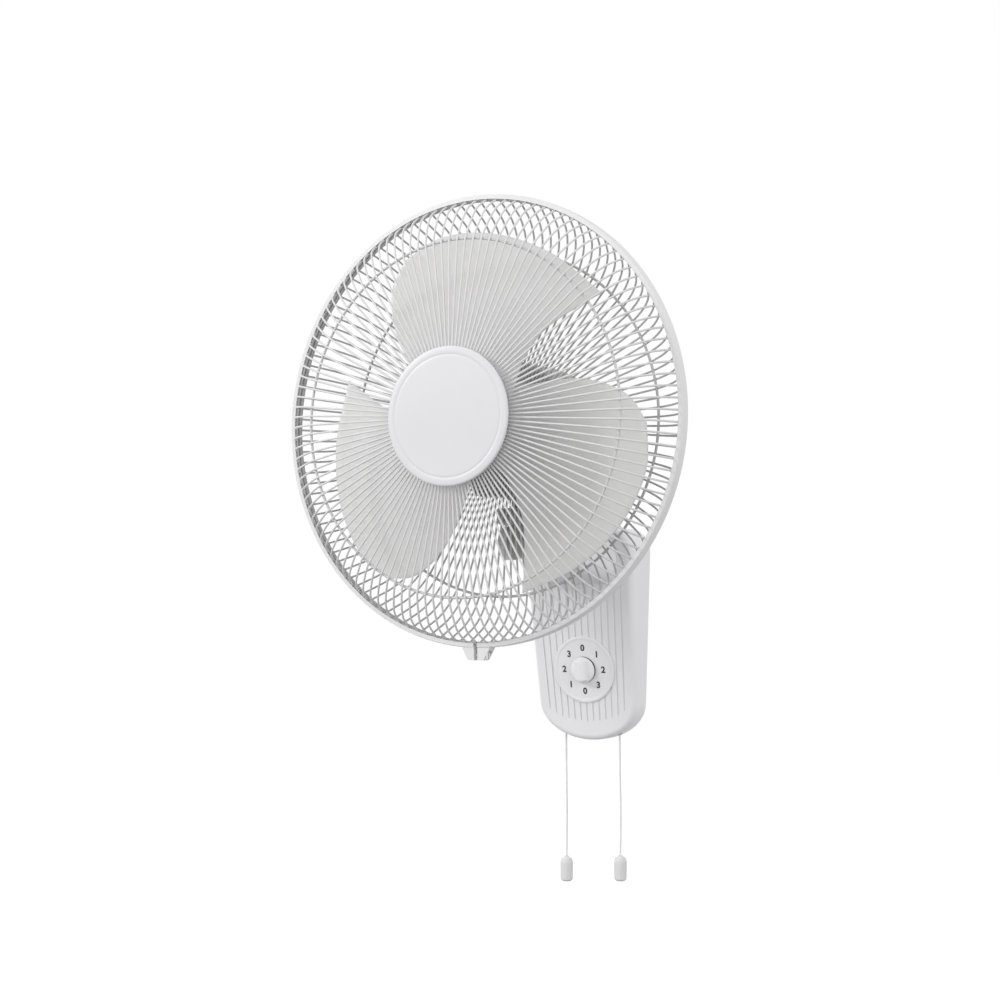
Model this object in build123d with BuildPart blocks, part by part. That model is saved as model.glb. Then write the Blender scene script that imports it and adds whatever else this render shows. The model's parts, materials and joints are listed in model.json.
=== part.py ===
"""Wall mounted fan, 436 mm across its guard, with a speed dial and two pull cords.

Frame: the origin is the centre of the wall screws on the wall plane, +Z is up, +Y points into
the wall and the fan blows along -Y. Distances along the head's own axis are called "ahead":
they are counted forward, away from the wall, from the middle of the guard's hoop. All sizes
are in millimetres.
"""

from build123d import *
from math import atan2, cos, degrees, pi, radians, sin, sqrt, tan
import os

os.makedirs("parts", exist_ok=True)

# ---------------------------------------------------------------- driving dimensions
slip_fit = 0.05  # radial gap between pieces that seat in each other or turn in each other
seat_gap = 0.3  # gap between curved faces that only lie close together

# Where the main axes stand
head_height = 207.0  # head axis above the origin
hoop_reach = 250.0  # wall to the middle of the guard's hoop
pan_reach = 165.0  # wall to the vertical axis that the head swings about
tilt_reach = 160.0  # wall to the horizontal axis that the neck tilts about
tilt_height = 91.0

# Guard cage
hoop_radius = 218.0
hoop_width = 13.0
hoop_wall = 2.5
hoop_lip = 4.7  # how far the hoop's two edges turn inwards
lip_wall = 1.2
wire = 2.0  # thickness of a guard wire
wire_count = 120
weld = 0.2  # depth by which a wire is pressed into a ring where it is welded
rim_ring_wire = 3.0
mid_ring_wire = 2.6
front_mid_radius = 170.3
front_mid_ahead = 37.7
front_inner_radius = 59.5
front_inner_ahead = 49.5
rear_mid_radius = 169.5
rear_mid_ahead = -45.5
rear_inner_radius = 46.0
rear_inner_ahead = -57.0
guard_plate_radius = 52.0
guard_plate_thickness = 1.0

# Badge cap in the middle of the front guard
cap_radius = 66.6
cap_ahead = 63.0
cap_wall = 2.2
cap_groove_radius = 54.5

# Impeller
blade_count = 3
blade_thickness = 1.8
blade_lead_ahead = -23.0
blade_trail_ahead = 14.0
blade_tip_radius = 186.0
hub_radius = 33.0
hub_wall = 2.5
hub_back = -34.0
hub_front = 20.0
shaft_radius = 4.0
shaft_front = 40.0
shaft_back = -134.0

# Motor and its casing
casing_radius = 64.0
casing_wall = 2.2
casing_front = -59.0
casing_split = -108.0
casing_back = -176.0
chin_half_width = 46.0
chin_depth = 70.0  # head axis to the flat under the casing
core_radius = 46.0
core_bore = 25.0
core_front = -84.0
core_back = -108.0
rotor_gap = 0.5
bell_front = -66.0
bell_back = -126.0
boss_radius = 15.0  # threaded boss that carries the rear guard
boss_front = -48.0

# Swing joint
spindle_radius = 7.0
sleeve_radius = 14.0
sleeve_bottom = 80.0  # below the head axis
sleeve_foot_radius = 10.0  # of its lowest part, beside the link
sleeve_foot = 7.0
thrust_washer = 2.0
collar_radius = 25.0

# Swing drive
crank_behind = 63.0  # crank axis behind the swing axis
anchor_radius = 19.0  # swing axis to the anchor pin
crank_radius = 13.4
drive_pin_radius = 2.0
link_thickness = 3.0

# Base housing
dial_height = -40.0
dial_depth = 30.0  # wall to the sloping face at the dial
face_slope = 8.0
base_half_width = 59.2  # at the height of the dial
side_taper = 2.0  # degrees per side, narrower downwards
round_start = 35.0  # the round bottom starts this far below the dial
round_depth = 40.0
base_top = 147.0  # above the dial
top_corner = 24.0
top_crown = 3.0
edge_radius = 6.0
shell_wall = 2.5
rim_gap = 0.8  # housing rim to wall
groove_count = 13
groove_pitch = 7.4
groove_width = 1.6
groove_depth = 0.9
groove_arc_drop = 17.0
groove_bottom = 38.0  # below the dial, for the outermost groove
groove_top = 92.0
dial_radius = 35.5
dial_raise = 1.4

# Arm, as sections across it: (wall to section, half width, lowest, highest, corner radius)
arm_sections = [
    (34.0, 50.0, 48.0, 101.0, 18.0),
    (88.0, 33.0, 61.0, 105.0, 15.0),
    (138.0, 22.0, 74.0, 104.0, 12.0),
]
ear_radius = 17.0
ear_inner = 11.0  # half the gap between the ears
tilt_bolt_radius = 4.0

# Knob and switches
knob_radius = 13.5
knob_height = 12.0
switch_side = 28.0
switch_depth = 14.0
dial_spindle_radius = 3.0
bushing_radius = 4.7

# Pull cords
cord_x = 32.0
cord_depth = 11.0  # wall to cord
cord_diameter = 2.0
slider_travel = 15.0
pull_radius = 6.8
pull_length = 27.0

# Wall bracket and back plate
bracket_width = 84.0
bracket_height = 150.0
bracket_thickness = 1.5
screw_spacing_x = 60.0
screw_spacing_z = 120.0
wall_hole_radius = 2.6
plate_thickness = 3.0
cable_bore_radius = 4.0

# ---------------------------------------------------------------- planes and axes
head_centre = (0, -hoop_reach, head_height)
head_section = Plane(origin=head_centre, x_dir=(1, 0, 0), z_dir=(0, 0, -1))  # (radius, ahead)
head_axis = Axis(head_centre, (0, -1, 0))
face_plane = Plane(
    origin=(0, -dial_depth, dial_height),
    x_dir=(1, 0, 0),
    z_dir=(0, -cos(radians(face_slope)), -sin(radians(face_slope))),
)


def head_plane(ahead):
    """A plane across the head axis: its x is +X, its y is +Z, and its normal points ahead."""
    return Plane(origin=(0, -hoop_reach - ahead, head_height), x_dir=(1, 0, 0), z_dir=(0, -1, 0))


def side_plane(x, y, z):
    """A plane that faces +X: its x is +Y and its y is +Z."""
    return Plane(origin=(x, y, z), x_dir=(0, 1, 0), z_dir=(1, 0, 0))


def wall_plane(x, depth, z):
    """A plane that faces away from the wall: its x is +X and its y is +Z."""
    return Plane(origin=(x, -depth, z), x_dir=(1, 0, 0), z_dir=(0, -1, 0))


def face_depth(height):
    """Wall to the sloping face at a height."""
    return dial_depth + (height - dial_height) * tan(radians(face_slope))


def clock(radius, angle):
    """A point across the head axis, by its angle clockwise from the top as seen from the front."""
    return (radius * sin(radians(angle)), radius * cos(radians(angle)))


def save(node, name):
    node.part.label = name
    export_step(node.part, "parts/" + name + ".step")


# ---------------------------------------------------------------- guard cage
rim_radius = hoop_radius - hoop_wall - rim_ring_wire / 2 - seat_gap
rim_ahead = hoop_width / 2 - lip_wall - seat_gap - rim_ring_wire / 2 - 0.9
rim_reach = rim_ring_wire / 2 - weld  # a wire's end stands this far from the middle of its rim ring
wire_end = rim_radius - 0.5 * rim_reach
wire_rim = rim_ahead + 0.86 * rim_reach


def ring(radius, ahead, thickness):
    """A ring of round wire about the head axis."""
    with BuildPart() as body:
        with BuildSketch(head_section):
            with Locations((radius, ahead)):
                RegularPolygon(thickness / 2, 8)
        revolve(axis=head_axis)
    return body.part


def guard_wire(stations):
    """One guard wire through (radius, ahead) stations, as a square bar with mitred bends."""
    points = [(0, -hoop_reach - ahead, head_height + radius) for radius, ahead in stations]
    with BuildPart() as bar:
        with BuildLine() as path:
            Polyline(*points)
        start = path.wires()[0] ^ 0
        with BuildSketch(Plane(start)):
            Rectangle(wire, wire)
        sweep(path=path.wires()[0], transition=Transition.RIGHT)
    return bar.part


def wire_fan(bar):
    """The wires of one guard, all alike and evenly spaced about the head axis."""
    step = 360 / wire_count
    return Compound(children=[bar.rotate(head_axis, step * turn) for turn in range(wire_count)])


wire_rise = wire / 2 + mid_ring_wire / 2 - weld
front_stations = [
    (front_inner_radius, front_inner_ahead),
    (front_mid_radius, front_mid_ahead + wire_rise),
    (wire_end - 24.0, wire_rim + 27.0),
    (wire_end - 12.0, wire_rim + 18.5),
    (wire_end - 5.5, wire_rim + 10.0),
    (wire_end, wire_rim),
]
rear_stations = [
    (rear_inner_radius, rear_inner_ahead),
    (rear_mid_radius, rear_mid_ahead - wire_rise),
    (wire_end - 26.0, -wire_rim - 36.0),
    (wire_end - 13.5, -wire_rim - 24.0),
    (wire_end - 6.0, -wire_rim - 11.0),
    (wire_end, -wire_rim),
]
front_guard_wires = wire_fan(guard_wire(front_stations))
rear_guard_wires = wire_fan(guard_wire(rear_stations))
front_guard_wires.label = "front_guard_wires"
rear_guard_wires.label = "rear_guard_wires"
export_step(front_guard_wires, "parts/front_guard_wires.step")
export_step(rear_guard_wires, "parts/rear_guard_wires.step")

front_inner_ring_ahead = front_inner_ahead - wire / 2 - mid_ring_wire / 2 + weld
front_guard_rings = Compound(
    children=[
        ring(rim_radius, rim_ahead, rim_ring_wire),
        ring(front_mid_radius, front_mid_ahead, mid_ring_wire),
        ring(front_inner_radius + 2, front_inner_ring_ahead - 0.4, mid_ring_wire),
    ]
)
rear_guard_rings = Compound(
    children=[
        ring(rim_radius, -rim_ahead, rim_ring_wire),
        ring(rear_mid_radius, rear_mid_ahead, mid_ring_wire),
    ]
)
front_guard_rings.label = "front_guard_rings"
rear_guard_rings.label = "rear_guard_rings"
export_step(front_guard_rings, "parts/front_guard_rings.step")
export_step(rear_guard_rings, "parts/rear_guard_rings.step")

guard_plate_front = casing_front + guard_plate_thickness
with BuildPart() as rear_guard_plate:
    with BuildSketch(head_section):
        with BuildLine():
            Polyline(
                (boss_radius + seat_gap, casing_front),
                (guard_plate_radius, casing_front),
                (guard_plate_radius, rear_inner_ahead - wire / 2 + weld),
                (guard_plate_radius - 8, rear_inner_ahead - wire / 2 + weld),
                (guard_plate_radius - 10, guard_plate_front),
                (boss_radius + seat_gap, guard_plate_front),
                close=True,
            )
        make_face()
    revolve(axis=head_axis)
save(rear_guard_plate, "rear_guard_plate")

lug_half_top = 16.0
lug_half_floor = 8.5
lug_gap = 4.0
lug_height = 12.0
lug_depth = 11.0
lug_seat = 9.0  # from the middle to the seats of the screw head and the nut
lug_seat_radius = 4.5
lug_screw_radius = 2.0
lug_screw_drop = hoop_radius + 6.8
with BuildPart() as guard_hoop:
    with BuildSketch(head_section):
        with BuildLine():
            half = hoop_width / 2
            edge = half - lip_wall
            Polyline(
                (hoop_radius - 0.8, half),
                (hoop_radius - hoop_lip, half),
                (hoop_radius - hoop_lip, edge),
                (hoop_radius - hoop_wall, edge),
                (hoop_radius - hoop_wall, -edge),
                (hoop_radius - hoop_lip, -edge),
                (hoop_radius - hoop_lip, -half),
                (hoop_radius - 0.8, -half),
                (hoop_radius, 2 - half),
                (hoop_radius, half - 2),
                close=True,
            )
        make_face()
    revolve(axis=head_axis)
    with BuildSketch(head_plane(-lug_depth / 2)):
        with BuildLine():
            Polyline(
                (-lug_half_top, 1.6 - hoop_radius),
                (lug_half_top, 1.6 - hoop_radius),
                (lug_half_floor, -hoop_radius - lug_height),
                (-lug_half_floor, -hoop_radius - lug_height),
                close=True,
            )
        make_face()
        fillet(vertices().group_by(Axis.Y)[0], 2.5)
    extrude(amount=lug_depth)
    with BuildSketch(head_plane(-hoop_width / 2 - 1)):
        with Locations((0, -hoop_radius)):
            Rectangle(lug_gap, 2 * lug_height + 4)
    extrude(amount=hoop_width + 2, mode=Mode.SUBTRACT)
    with BuildSketch(side_plane(0, -hoop_reach, head_height - lug_screw_drop)):
        Circle(lug_screw_radius + slip_fit)
    extrude(amount=lug_half_top, both=True, mode=Mode.SUBTRACT)
    with BuildSketch(side_plane(lug_seat, -hoop_reach, head_height - lug_screw_drop)):
        Circle(lug_seat_radius)
    extrude(amount=lug_half_top, mode=Mode.SUBTRACT)
    with BuildSketch(side_plane(-lug_seat, -hoop_reach, head_height - lug_screw_drop)):
        Circle(lug_seat_radius)
    extrude(amount=-lug_half_top, mode=Mode.SUBTRACT)
save(guard_hoop, "guard_hoop")

lug_screw_origin = (lug_seat, -hoop_reach, head_height - lug_screw_drop)
with BuildPart() as hoop_screw:
    with BuildSketch(Plane(origin=lug_screw_origin, z_dir=(1, 0, 0))):
        Circle(3.8)
    extrude(amount=2.4)
    fillet(faces().sort_by(Axis.X)[-1].edges(), 1.2)
    with BuildSketch(Plane(origin=lug_screw_origin, z_dir=(1, 0, 0)).offset(2.4)):
        Rectangle(8, 1.1)
    extrude(amount=-1.0, mode=Mode.SUBTRACT)
    with BuildSketch(Plane(origin=lug_screw_origin, z_dir=(-1, 0, 0))):
        Circle(lug_screw_radius)
    extrude(amount=2 * lug_seat + 3)
save(hoop_screw, "hoop_screw")

with BuildPart() as hoop_nut:
    with BuildSketch(
        Plane(origin=(-lug_seat, -hoop_reach, head_height - lug_screw_drop), z_dir=(-1, 0, 0))
    ):
        RegularPolygon(4.0, 6)
        Circle(lug_screw_radius + slip_fit, mode=Mode.SUBTRACT)
    extrude(amount=2.6)
save(hoop_nut, "hoop_nut")

# ---------------------------------------------------------------- badge cap
wire_top = front_inner_ahead + wire / 2
with BuildPart() as guard_cap:
    with BuildSketch(head_section):
        with BuildLine():
            Line((0, wire_top), (0, cap_ahead + 1.2))
            TangentArc((0, cap_ahead + 1.2), (cap_radius - 6, cap_ahead), tangent=(1, 0))
            ThreePointArc(
                (cap_radius - 6, cap_ahead),
                (cap_radius - 1.7, cap_ahead - 1.8),
                (cap_radius, cap_ahead - 5.6),
            )
            Polyline(
                (cap_radius, cap_ahead - 5.6),
                (cap_radius, wire_top),
                (cap_radius - cap_wall, wire_top),
                (cap_radius - cap_wall, cap_ahead - cap_wall - 1.6),
                (18, cap_ahead - cap_wall - 0.6),
                (14, cap_ahead - cap_wall - 0.6),
                (14, wire_top),
                (0, wire_top),
            )
        make_face()
        with Locations((cap_groove_radius, cap_ahead + 0.35)):
            Circle(0.8, mode=Mode.SUBTRACT)
    revolve(axis=head_axis)
    with BuildSketch(head_plane(wire_top)):
        with PolarLocations(10, 3):
            Circle(1.5)
    extrude(amount=4, mode=Mode.SUBTRACT)
save(guard_cap, "guard_cap")

retainer_front = front_inner_ahead - wire / 2
with BuildPart() as cap_retainer:
    with BuildSketch(head_section):
        with BuildLine():
            Polyline(
                (0, retainer_front - 2),
                (54, retainer_front - 2),
                (54, retainer_front - 0.2),
                (57.4, retainer_front - 0.2),
                (57.4, retainer_front - 3.6),
                (51, retainer_front - 4.6),
                (0, retainer_front - 4.6),
                close=True,
            )
        make_face()
    revolve(axis=head_axis)
    with BuildSketch(head_plane(retainer_front - 2)):
        Circle(13)
    extrude(amount=wire_top - retainer_front + 2)
    with BuildSketch(head_plane(retainer_front - 5)):
        with PolarLocations(10, 3):
            Circle(1.5)
    extrude(amount=wire_top - retainer_front + 6, mode=Mode.SUBTRACT)
save(cap_retainer, "cap_retainer")

with BuildPart() as cap_screws:
    with BuildSketch(head_plane(retainer_front - 4.6)):
        with PolarLocations(10, 3):
            Circle(2.8)
    extrude(amount=-1.8)
    with BuildSketch(head_plane(retainer_front - 4.6)):
        with PolarLocations(10, 3):
            Circle(1.5 - slip_fit)
    extrude(amount=wire_top - retainer_front + 7)
save(cap_screws, "cap_screws")

# ---------------------------------------------------------------- impeller
# Outline of one blade: clockwise angles from its middle line, seen from the front.
blade_trail = [(hub_radius - 3, -58), (66, -56), (126, -45), (164, -35.5), (181, -27)]
blade_outer = [(181, -27), (blade_tip_radius, -14), (182, 3), (174.5, 24), (170.5, 47)]
blade_lead = [(170.5, 47), (143, 43.2), (104, 37), (70, 36.2), (46, 43), (hub_radius - 3, 56)]
blade_lead_angle = 58.0
blade_trail_angle = -66.0
blade_camber = 0.82


def blade_ahead(angle):
    """Height of the blade's face: from its leading edge at the back to its trailing edge."""
    share = (blade_lead_angle - angle) / (blade_lead_angle - blade_trail_angle)
    return blade_lead_ahead + (blade_trail_ahead - blade_lead_ahead) * share**blade_camber


def blade_point(radius, angle):
    x, z = clock(radius, angle)
    return (x, -hoop_reach - blade_ahead(angle), head_height + z)


blade_steps = 12
blade_span = blade_lead_angle - blade_trail_angle
blade_angles = [blade_trail_angle + blade_span * step / blade_steps for step in range(blade_steps + 1)]
blade_face = Face.make_surface_from_array_of_points(
    [
        [blade_point(radius, angle) for angle in blade_angles]
        for radius in (hub_radius - 6, 80, 130, blade_tip_radius + 6)
    ]
)
with BuildPart() as blade:
    thicken(blade_face, amount=blade_thickness / 2, both=True)
    with BuildSketch(head_plane(blade_lead_ahead - 12)):
        with BuildLine():
            Spline(*[clock(*point) for point in blade_trail])
            Spline(*[clock(*point) for point in blade_outer])
            Spline(*[clock(*point) for point in blade_lead])
            Line(clock(*blade_lead[-1]), clock(*blade_trail[0]))
        make_face()
    extrude(amount=blade_trail_ahead - blade_lead_ahead + 24, mode=Mode.INTERSECT)

with BuildPart() as impeller:
    with BuildSketch(head_section):
        with BuildLine():
            Polyline(
                (shaft_radius + slip_fit, hub_front),
                (hub_radius - 5, hub_front),
            )
            ThreePointArc(
                (hub_radius - 5, hub_front),
                (hub_radius - 1.4, hub_front - 1.6),
                (hub_radius, hub_front - 5),
            )
            Polyline(
                (hub_radius, hub_front - 5),
                (hub_radius, hub_back),
                (hub_radius - hub_wall, hub_back),
                (hub_radius - hub_wall, hub_front - 6),
                (11, hub_front - 6),
                (9, hub_back + 10),
                (shaft_radius + slip_fit, hub_back + 10),
                (shaft_radius + slip_fit, hub_front),
            )
        make_face()
    revolve(axis=head_axis)
    for turn in range(blade_count):
        add(blade.part.rotate(head_axis, 360 / blade_count * turn))
    with BuildSketch(head_section):
        with Locations((0, (hub_front - 6 + hub_back) / 2 - 10)):
            Rectangle(2 * (hub_radius - hub_wall), hub_front - 6 - hub_back + 20)
        with Locations((0, (hub_front + hub_back) / 2)):
            Rectangle(22, hub_front - hub_back + 80, mode=Mode.SUBTRACT)
        split(bisect_by=Plane.YZ, keep=Keep.TOP)
    revolve(axis=head_axis, mode=Mode.SUBTRACT)
save(impeller, "impeller")

with BuildPart() as blade_nut:
    with BuildSketch(head_section):
        with BuildLine():
            Polyline(
                (shaft_radius + slip_fit, hub_front),
                (16, hub_front),
                (15, hub_front + 9),
            )
            TangentArc((0, hub_front + 22), (15, hub_front + 9), tangent=(1, 0))
            Polyline(
                (0, hub_front + 22),
                (0, shaft_front + 0.6),
                (shaft_radius + slip_fit, shaft_front + 0.6),
                (shaft_radius + slip_fit, hub_front),
            )
        make_face()
    revolve(axis=head_axis)
    with BuildSketch(head_plane(hub_front + 1.5)):
        with PolarLocations(16.6, 12):
            Circle(1.6)
    extrude(amount=22, mode=Mode.SUBTRACT)
save(blade_nut, "blade_nut")

with BuildPart() as shaft:
    with BuildSketch(head_plane(shaft_back)):
        Circle(shaft_radius)
    extrude(amount=shaft_front - shaft_back)
    chamfer(edges().filter_by(GeomType.CIRCLE), 0.6)
save(shaft, "shaft")

with BuildPart() as rotor:
    with BuildSketch(head_plane(core_back)):
        Circle(core_bore - rotor_gap)
        Circle(shaft_radius + slip_fit, mode=Mode.SUBTRACT)
    extrude(amount=core_front - core_back)
    with BuildSketch(head_plane(core_back - 4)):
        Circle(core_bore - 3)
        Circle(core_bore - 10, mode=Mode.SUBTRACT)
    extrude(amount=core_front - core_back + 8)
save(rotor, "rotor")

# ---------------------------------------------------------------- motor
motor_bolt_circle = 41.5
motor_bolt_radius = 1.8
motor_bolt_start = 45
skirt_inner = core_radius - 7.5
foot_drop = 49.0  # head axis to the flat feet under the end bells


with BuildPart() as stator_core:
    with BuildSketch(head_plane(core_back)):
        Circle(core_radius)
        Circle(core_bore, mode=Mode.SUBTRACT)
        with PolarLocations(motor_bolt_circle, 4, start_angle=motor_bolt_start):
            Circle(motor_bolt_radius + slip_fit, mode=Mode.SUBTRACT)
        with PolarLocations(core_radius, 8):
            Rectangle(2.4, 5, mode=Mode.SUBTRACT)
    extrude(amount=core_front - core_back)
save(stator_core, "stator_core")

coil_outer = skirt_inner - 1.5
coil_inner = core_bore + 3
with BuildPart() as stator_windings:
    for back in (core_front, core_back - 9):
        with BuildSketch(head_plane(back)):
            Circle(coil_outer)
            Circle(coil_inner, mode=Mode.SUBTRACT)
        extrude(amount=9)
    fillet(edges().filter_by(GeomType.CIRCLE).group_by(Axis.Y)[0], 3)
    fillet(edges().filter_by(GeomType.CIRCLE).group_by(Axis.Y)[-1], 3)
save(stator_windings, "stator_windings")

bearing_radius = 9.0
with BuildPart() as front_end_bell:
    with BuildSketch(head_plane(bell_front - 4)):
        Circle(core_radius)
    extrude(amount=4)
    with BuildSketch(head_plane(core_front)):
        Circle(core_radius)
        Circle(skirt_inner, mode=Mode.SUBTRACT)
        with PolarLocations(core_radius - 4, 4):
            Rectangle(16, 30, mode=Mode.SUBTRACT)
    extrude(amount=bell_front - 4 - core_front)
    with BuildSketch(head_plane(bell_front)):
        Circle(boss_radius)
    extrude(amount=boss_front - bell_front)
    with BuildSketch(head_plane(core_front)):
        with Locations((0, -foot_drop + 8)):
            Rectangle(34, 16)
        Circle(skirt_inner, mode=Mode.SUBTRACT)
    extrude(amount=bell_front - core_front)
    with BuildSketch(head_plane(bell_front - 4)):
        Circle(bearing_radius + slip_fit)
    extrude(amount=12 + 4, mode=Mode.SUBTRACT)
    with BuildSketch(head_plane(bell_front - 4)):
        Circle(shaft_radius + 1)
        with PolarLocations(27, 6):
            Circle(4.5)
        with PolarLocations(motor_bolt_circle, 4, start_angle=motor_bolt_start):
            Circle(motor_bolt_radius + slip_fit)
    extrude(amount=boss_front - bell_front + 4, mode=Mode.SUBTRACT)
    with BuildSketch(head_plane(core_front)):
        with PolarLocations(motor_bolt_circle, 4, start_angle=motor_bolt_start):
            Circle(motor_bolt_radius + slip_fit)
    extrude(amount=bell_front - core_front, mode=Mode.SUBTRACT)
save(front_end_bell, "front_end_bell")

hub_end = casing_back + casing_wall + 3
with BuildPart() as rear_end_bell:
    with BuildSketch(head_plane(bell_back)):
        Circle(core_radius)
    extrude(amount=4)
    with BuildSketch(head_plane(bell_back + 4)):
        Circle(core_radius)
        Circle(skirt_inner, mode=Mode.SUBTRACT)
        with PolarLocations(core_radius - 4, 4):
            Rectangle(16, 30, mode=Mode.SUBTRACT)
    extrude(amount=core_back - bell_back - 4)
    with BuildSketch(head_plane(bell_back)):
        Circle(13)
    extrude(amount=-10)
    with BuildSketch(head_plane(bell_back - 10)):
        Circle(6)
    extrude(amount=hub_end - bell_back + 10)
    with BuildSketch(head_plane(bell_back)):
        with Locations((0, -foot_drop + 8)):
            Rectangle(34, 16)
        Circle(skirt_inner, mode=Mode.SUBTRACT)
    extrude(amount=core_back - bell_back)
    with BuildSketch(head_plane(bell_back + 4)):
        Circle(bearing_radius + slip_fit)
    extrude(amount=-13, mode=Mode.SUBTRACT)
    with BuildSketch(head_plane(bell_back + 4)):
        with PolarLocations(27, 6):
            Circle(4.5)
        with PolarLocations(motor_bolt_circle, 4, start_angle=motor_bolt_start):
            Circle(motor_bolt_radius + slip_fit)
    extrude(amount=-4, mode=Mode.SUBTRACT)
    with BuildSketch(head_plane(bell_back)):
        with PolarLocations(motor_bolt_circle, 4, start_angle=motor_bolt_start):
            Circle(motor_bolt_radius + slip_fit)
    extrude(amount=core_back - bell_back, mode=Mode.SUBTRACT)
    with BuildSketch(head_plane(hub_end)):
        Circle(1.6)
    extrude(amount=14, mode=Mode.SUBTRACT)
save(rear_end_bell, "rear_end_bell")

with BuildPart() as motor_bearings:
    for start, reach in ((bell_front - 4, 12), (bell_back + 4, -12)):
        with BuildSketch(head_plane(start)):
            Circle(bearing_radius)
            Circle(shaft_radius + slip_fit, mode=Mode.SUBTRACT)
        extrude(amount=reach)
save(motor_bearings, "motor_bearings")

with BuildPart() as motor_bolts:
    with BuildSketch(head_plane(bell_front)):
        with PolarLocations(motor_bolt_circle, 4, start_angle=motor_bolt_start):
            Circle(3.2)
    extrude(amount=2.2)
    with BuildSketch(head_plane(bell_front)):
        with PolarLocations(motor_bolt_circle, 4, start_angle=motor_bolt_start):
            Circle(motor_bolt_radius)
    extrude(amount=bell_back - bell_front - 3)
    with BuildSketch(head_plane(bell_back)):
        with PolarLocations(motor_bolt_circle, 4, start_angle=motor_bolt_start):
            RegularPolygon(3.4, 6)
    extrude(amount=-2.4)
save(motor_bolts, "motor_bolts")

with BuildPart() as guard_nut:
    with BuildSketch(head_plane(guard_plate_front)):
        Circle(32)
        Circle(boss_radius + slip_fit, mode=Mode.SUBTRACT)
    extrude(amount=3)
    with BuildSketch(head_plane(guard_plate_front + 3)):
        Circle(24)
        Circle(boss_radius + slip_fit, mode=Mode.SUBTRACT)
        with PolarLocations(25, 8):
            Circle(3.5, mode=Mode.SUBTRACT)
    extrude(amount=6)
save(guard_nut, "guard_nut")

# ---------------------------------------------------------------- motor casing
casing_shoulder = -150.0
crank_x = anchor_radius - crank_radius
crank_y = -pan_reach + crank_behind
casing_end_radius = 44.0
sleeve_hole = sleeve_radius + 3.0


def casing_profile(inset):
    """Half section of the casing, moved in by inset."""
    radius = casing_radius - inset
    end_radius = casing_end_radius - inset
    end = casing_back + inset
    with BuildSketch(head_section) as half:
        with BuildLine():
            Polyline((0, end), (0, casing_front - inset), (radius - 3, casing_front - inset))
            ThreePointArc(
                (radius - 3, casing_front - inset),
                (radius - 0.9, casing_front - inset - 0.9),
                (radius, casing_front - inset - 3),
            )
            Line((radius, casing_front - inset - 3), (radius, casing_split - 12))
            Spline(
                (radius, casing_split - 12),
                (radius - 3, casing_shoulder),
                (end_radius, end),
                tangents=[(0, -1), (-1, -0.18)],
            )
            Line((end_radius, end), (0, end))
        make_face()
    return half.sketch


def casing_body(inset):
    """The casing as one block: a turned body with a squarer chin over the swing joint."""
    profile = casing_profile(inset)
    with BuildPart() as body:
        revolve(profile, axis=head_axis)
        with BuildSketch(head_plane(casing_split - 18 + inset)):
            with Locations((0, -chin_depth / 2 + inset / 2)):
                Rectangle(2 * (chin_half_width - inset), chin_depth - inset)
            fillet(vertices().group_by(Axis.Y)[0], 14)
        extrude(amount=casing_front - casing_split + 18 - 2 - 2 * inset)
    return body.part


casing_outer = casing_body(0)
casing_inner = casing_body(casing_wall)

with BuildPart() as motor_front_cover:
    add(casing_outer)
    add(casing_inner, mode=Mode.SUBTRACT)
    split(bisect_by=head_plane(casing_split + seat_gap / 2), keep=Keep.TOP)
    with BuildSketch(head_plane(casing_front - casing_wall)):
        Circle(boss_radius + seat_gap)
        with PolarLocations(38, 8):
            SlotOverall(20, 3.2, rotation=90)
    extrude(amount=casing_wall, mode=Mode.SUBTRACT)
    with BuildSketch(Plane(origin=(0, -pan_reach, head_height - chin_depth))):
        Circle(sleeve_hole)
    extrude(amount=casing_wall + 4, both=True, mode=Mode.SUBTRACT)
save(motor_front_cover, "motor_front_cover")

vent_count = 18
with BuildPart() as motor_rear_cover:
    add(casing_outer)
    add(casing_inner, mode=Mode.SUBTRACT)
    split(bisect_by=head_plane(casing_split - seat_gap / 2), keep=Keep.BOTTOM)
    with BuildSketch(head_plane(casing_back - 1)):
        with PolarLocations(26, vent_count):
            SlotOverall(18, 3.0)
        Circle(2.4)
    extrude(amount=casing_wall + 4, mode=Mode.SUBTRACT)
    with BuildSketch(Plane(origin=(crank_x, crank_y, head_height - casing_radius - 1))):
        Circle(5.5)
    extrude(amount=20, mode=Mode.SUBTRACT)
save(motor_rear_cover, "motor_rear_cover")

with BuildPart() as rear_cover_screw:
    with BuildSketch(head_plane(casing_back)):
        Circle(4)
    extrude(amount=-2)
    with BuildSketch(head_plane(casing_back)):
        Circle(1.6 - slip_fit)
    extrude(amount=hub_end - casing_back + 12)
save(rear_cover_screw, "rear_cover_screw")

# ---------------------------------------------------------------- swing joint and neck
bracket_top = head_height - foot_drop
bracket_floor = bracket_top - 5.5
sleeve_end = head_height - sleeve_bottom
bore_top = bracket_top - 3.5
with BuildPart() as motor_bracket:
    with BuildSketch(Plane(origin=(0, 0, bracket_floor))):
        with Locations((0, -hoop_reach - (bell_front + bell_back) / 2)):
            RectangleRounded(44, bell_front - bell_back, 4)
    extrude(amount=bracket_top - bracket_floor)
    with BuildSketch(Plane(origin=(0, -pan_reach, sleeve_end))):
        Circle(sleeve_foot_radius)
    extrude(amount=sleeve_foot)
    with BuildSketch(Plane(origin=(0, -pan_reach, sleeve_end + sleeve_foot))):
        Circle(sleeve_radius)
    extrude(amount=bracket_floor - sleeve_end - sleeve_foot)
    with BuildSketch(Plane(origin=(0, -pan_reach, bore_top))):
        Circle(12)
    extrude(amount=4, mode=Mode.SUBTRACT)
    with BuildSketch(Plane(origin=(0, -pan_reach, sleeve_end))):
        Circle(spindle_radius)
    extrude(amount=bore_top - sleeve_end, mode=Mode.SUBTRACT)
save(motor_bracket, "motor_bracket")

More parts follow.
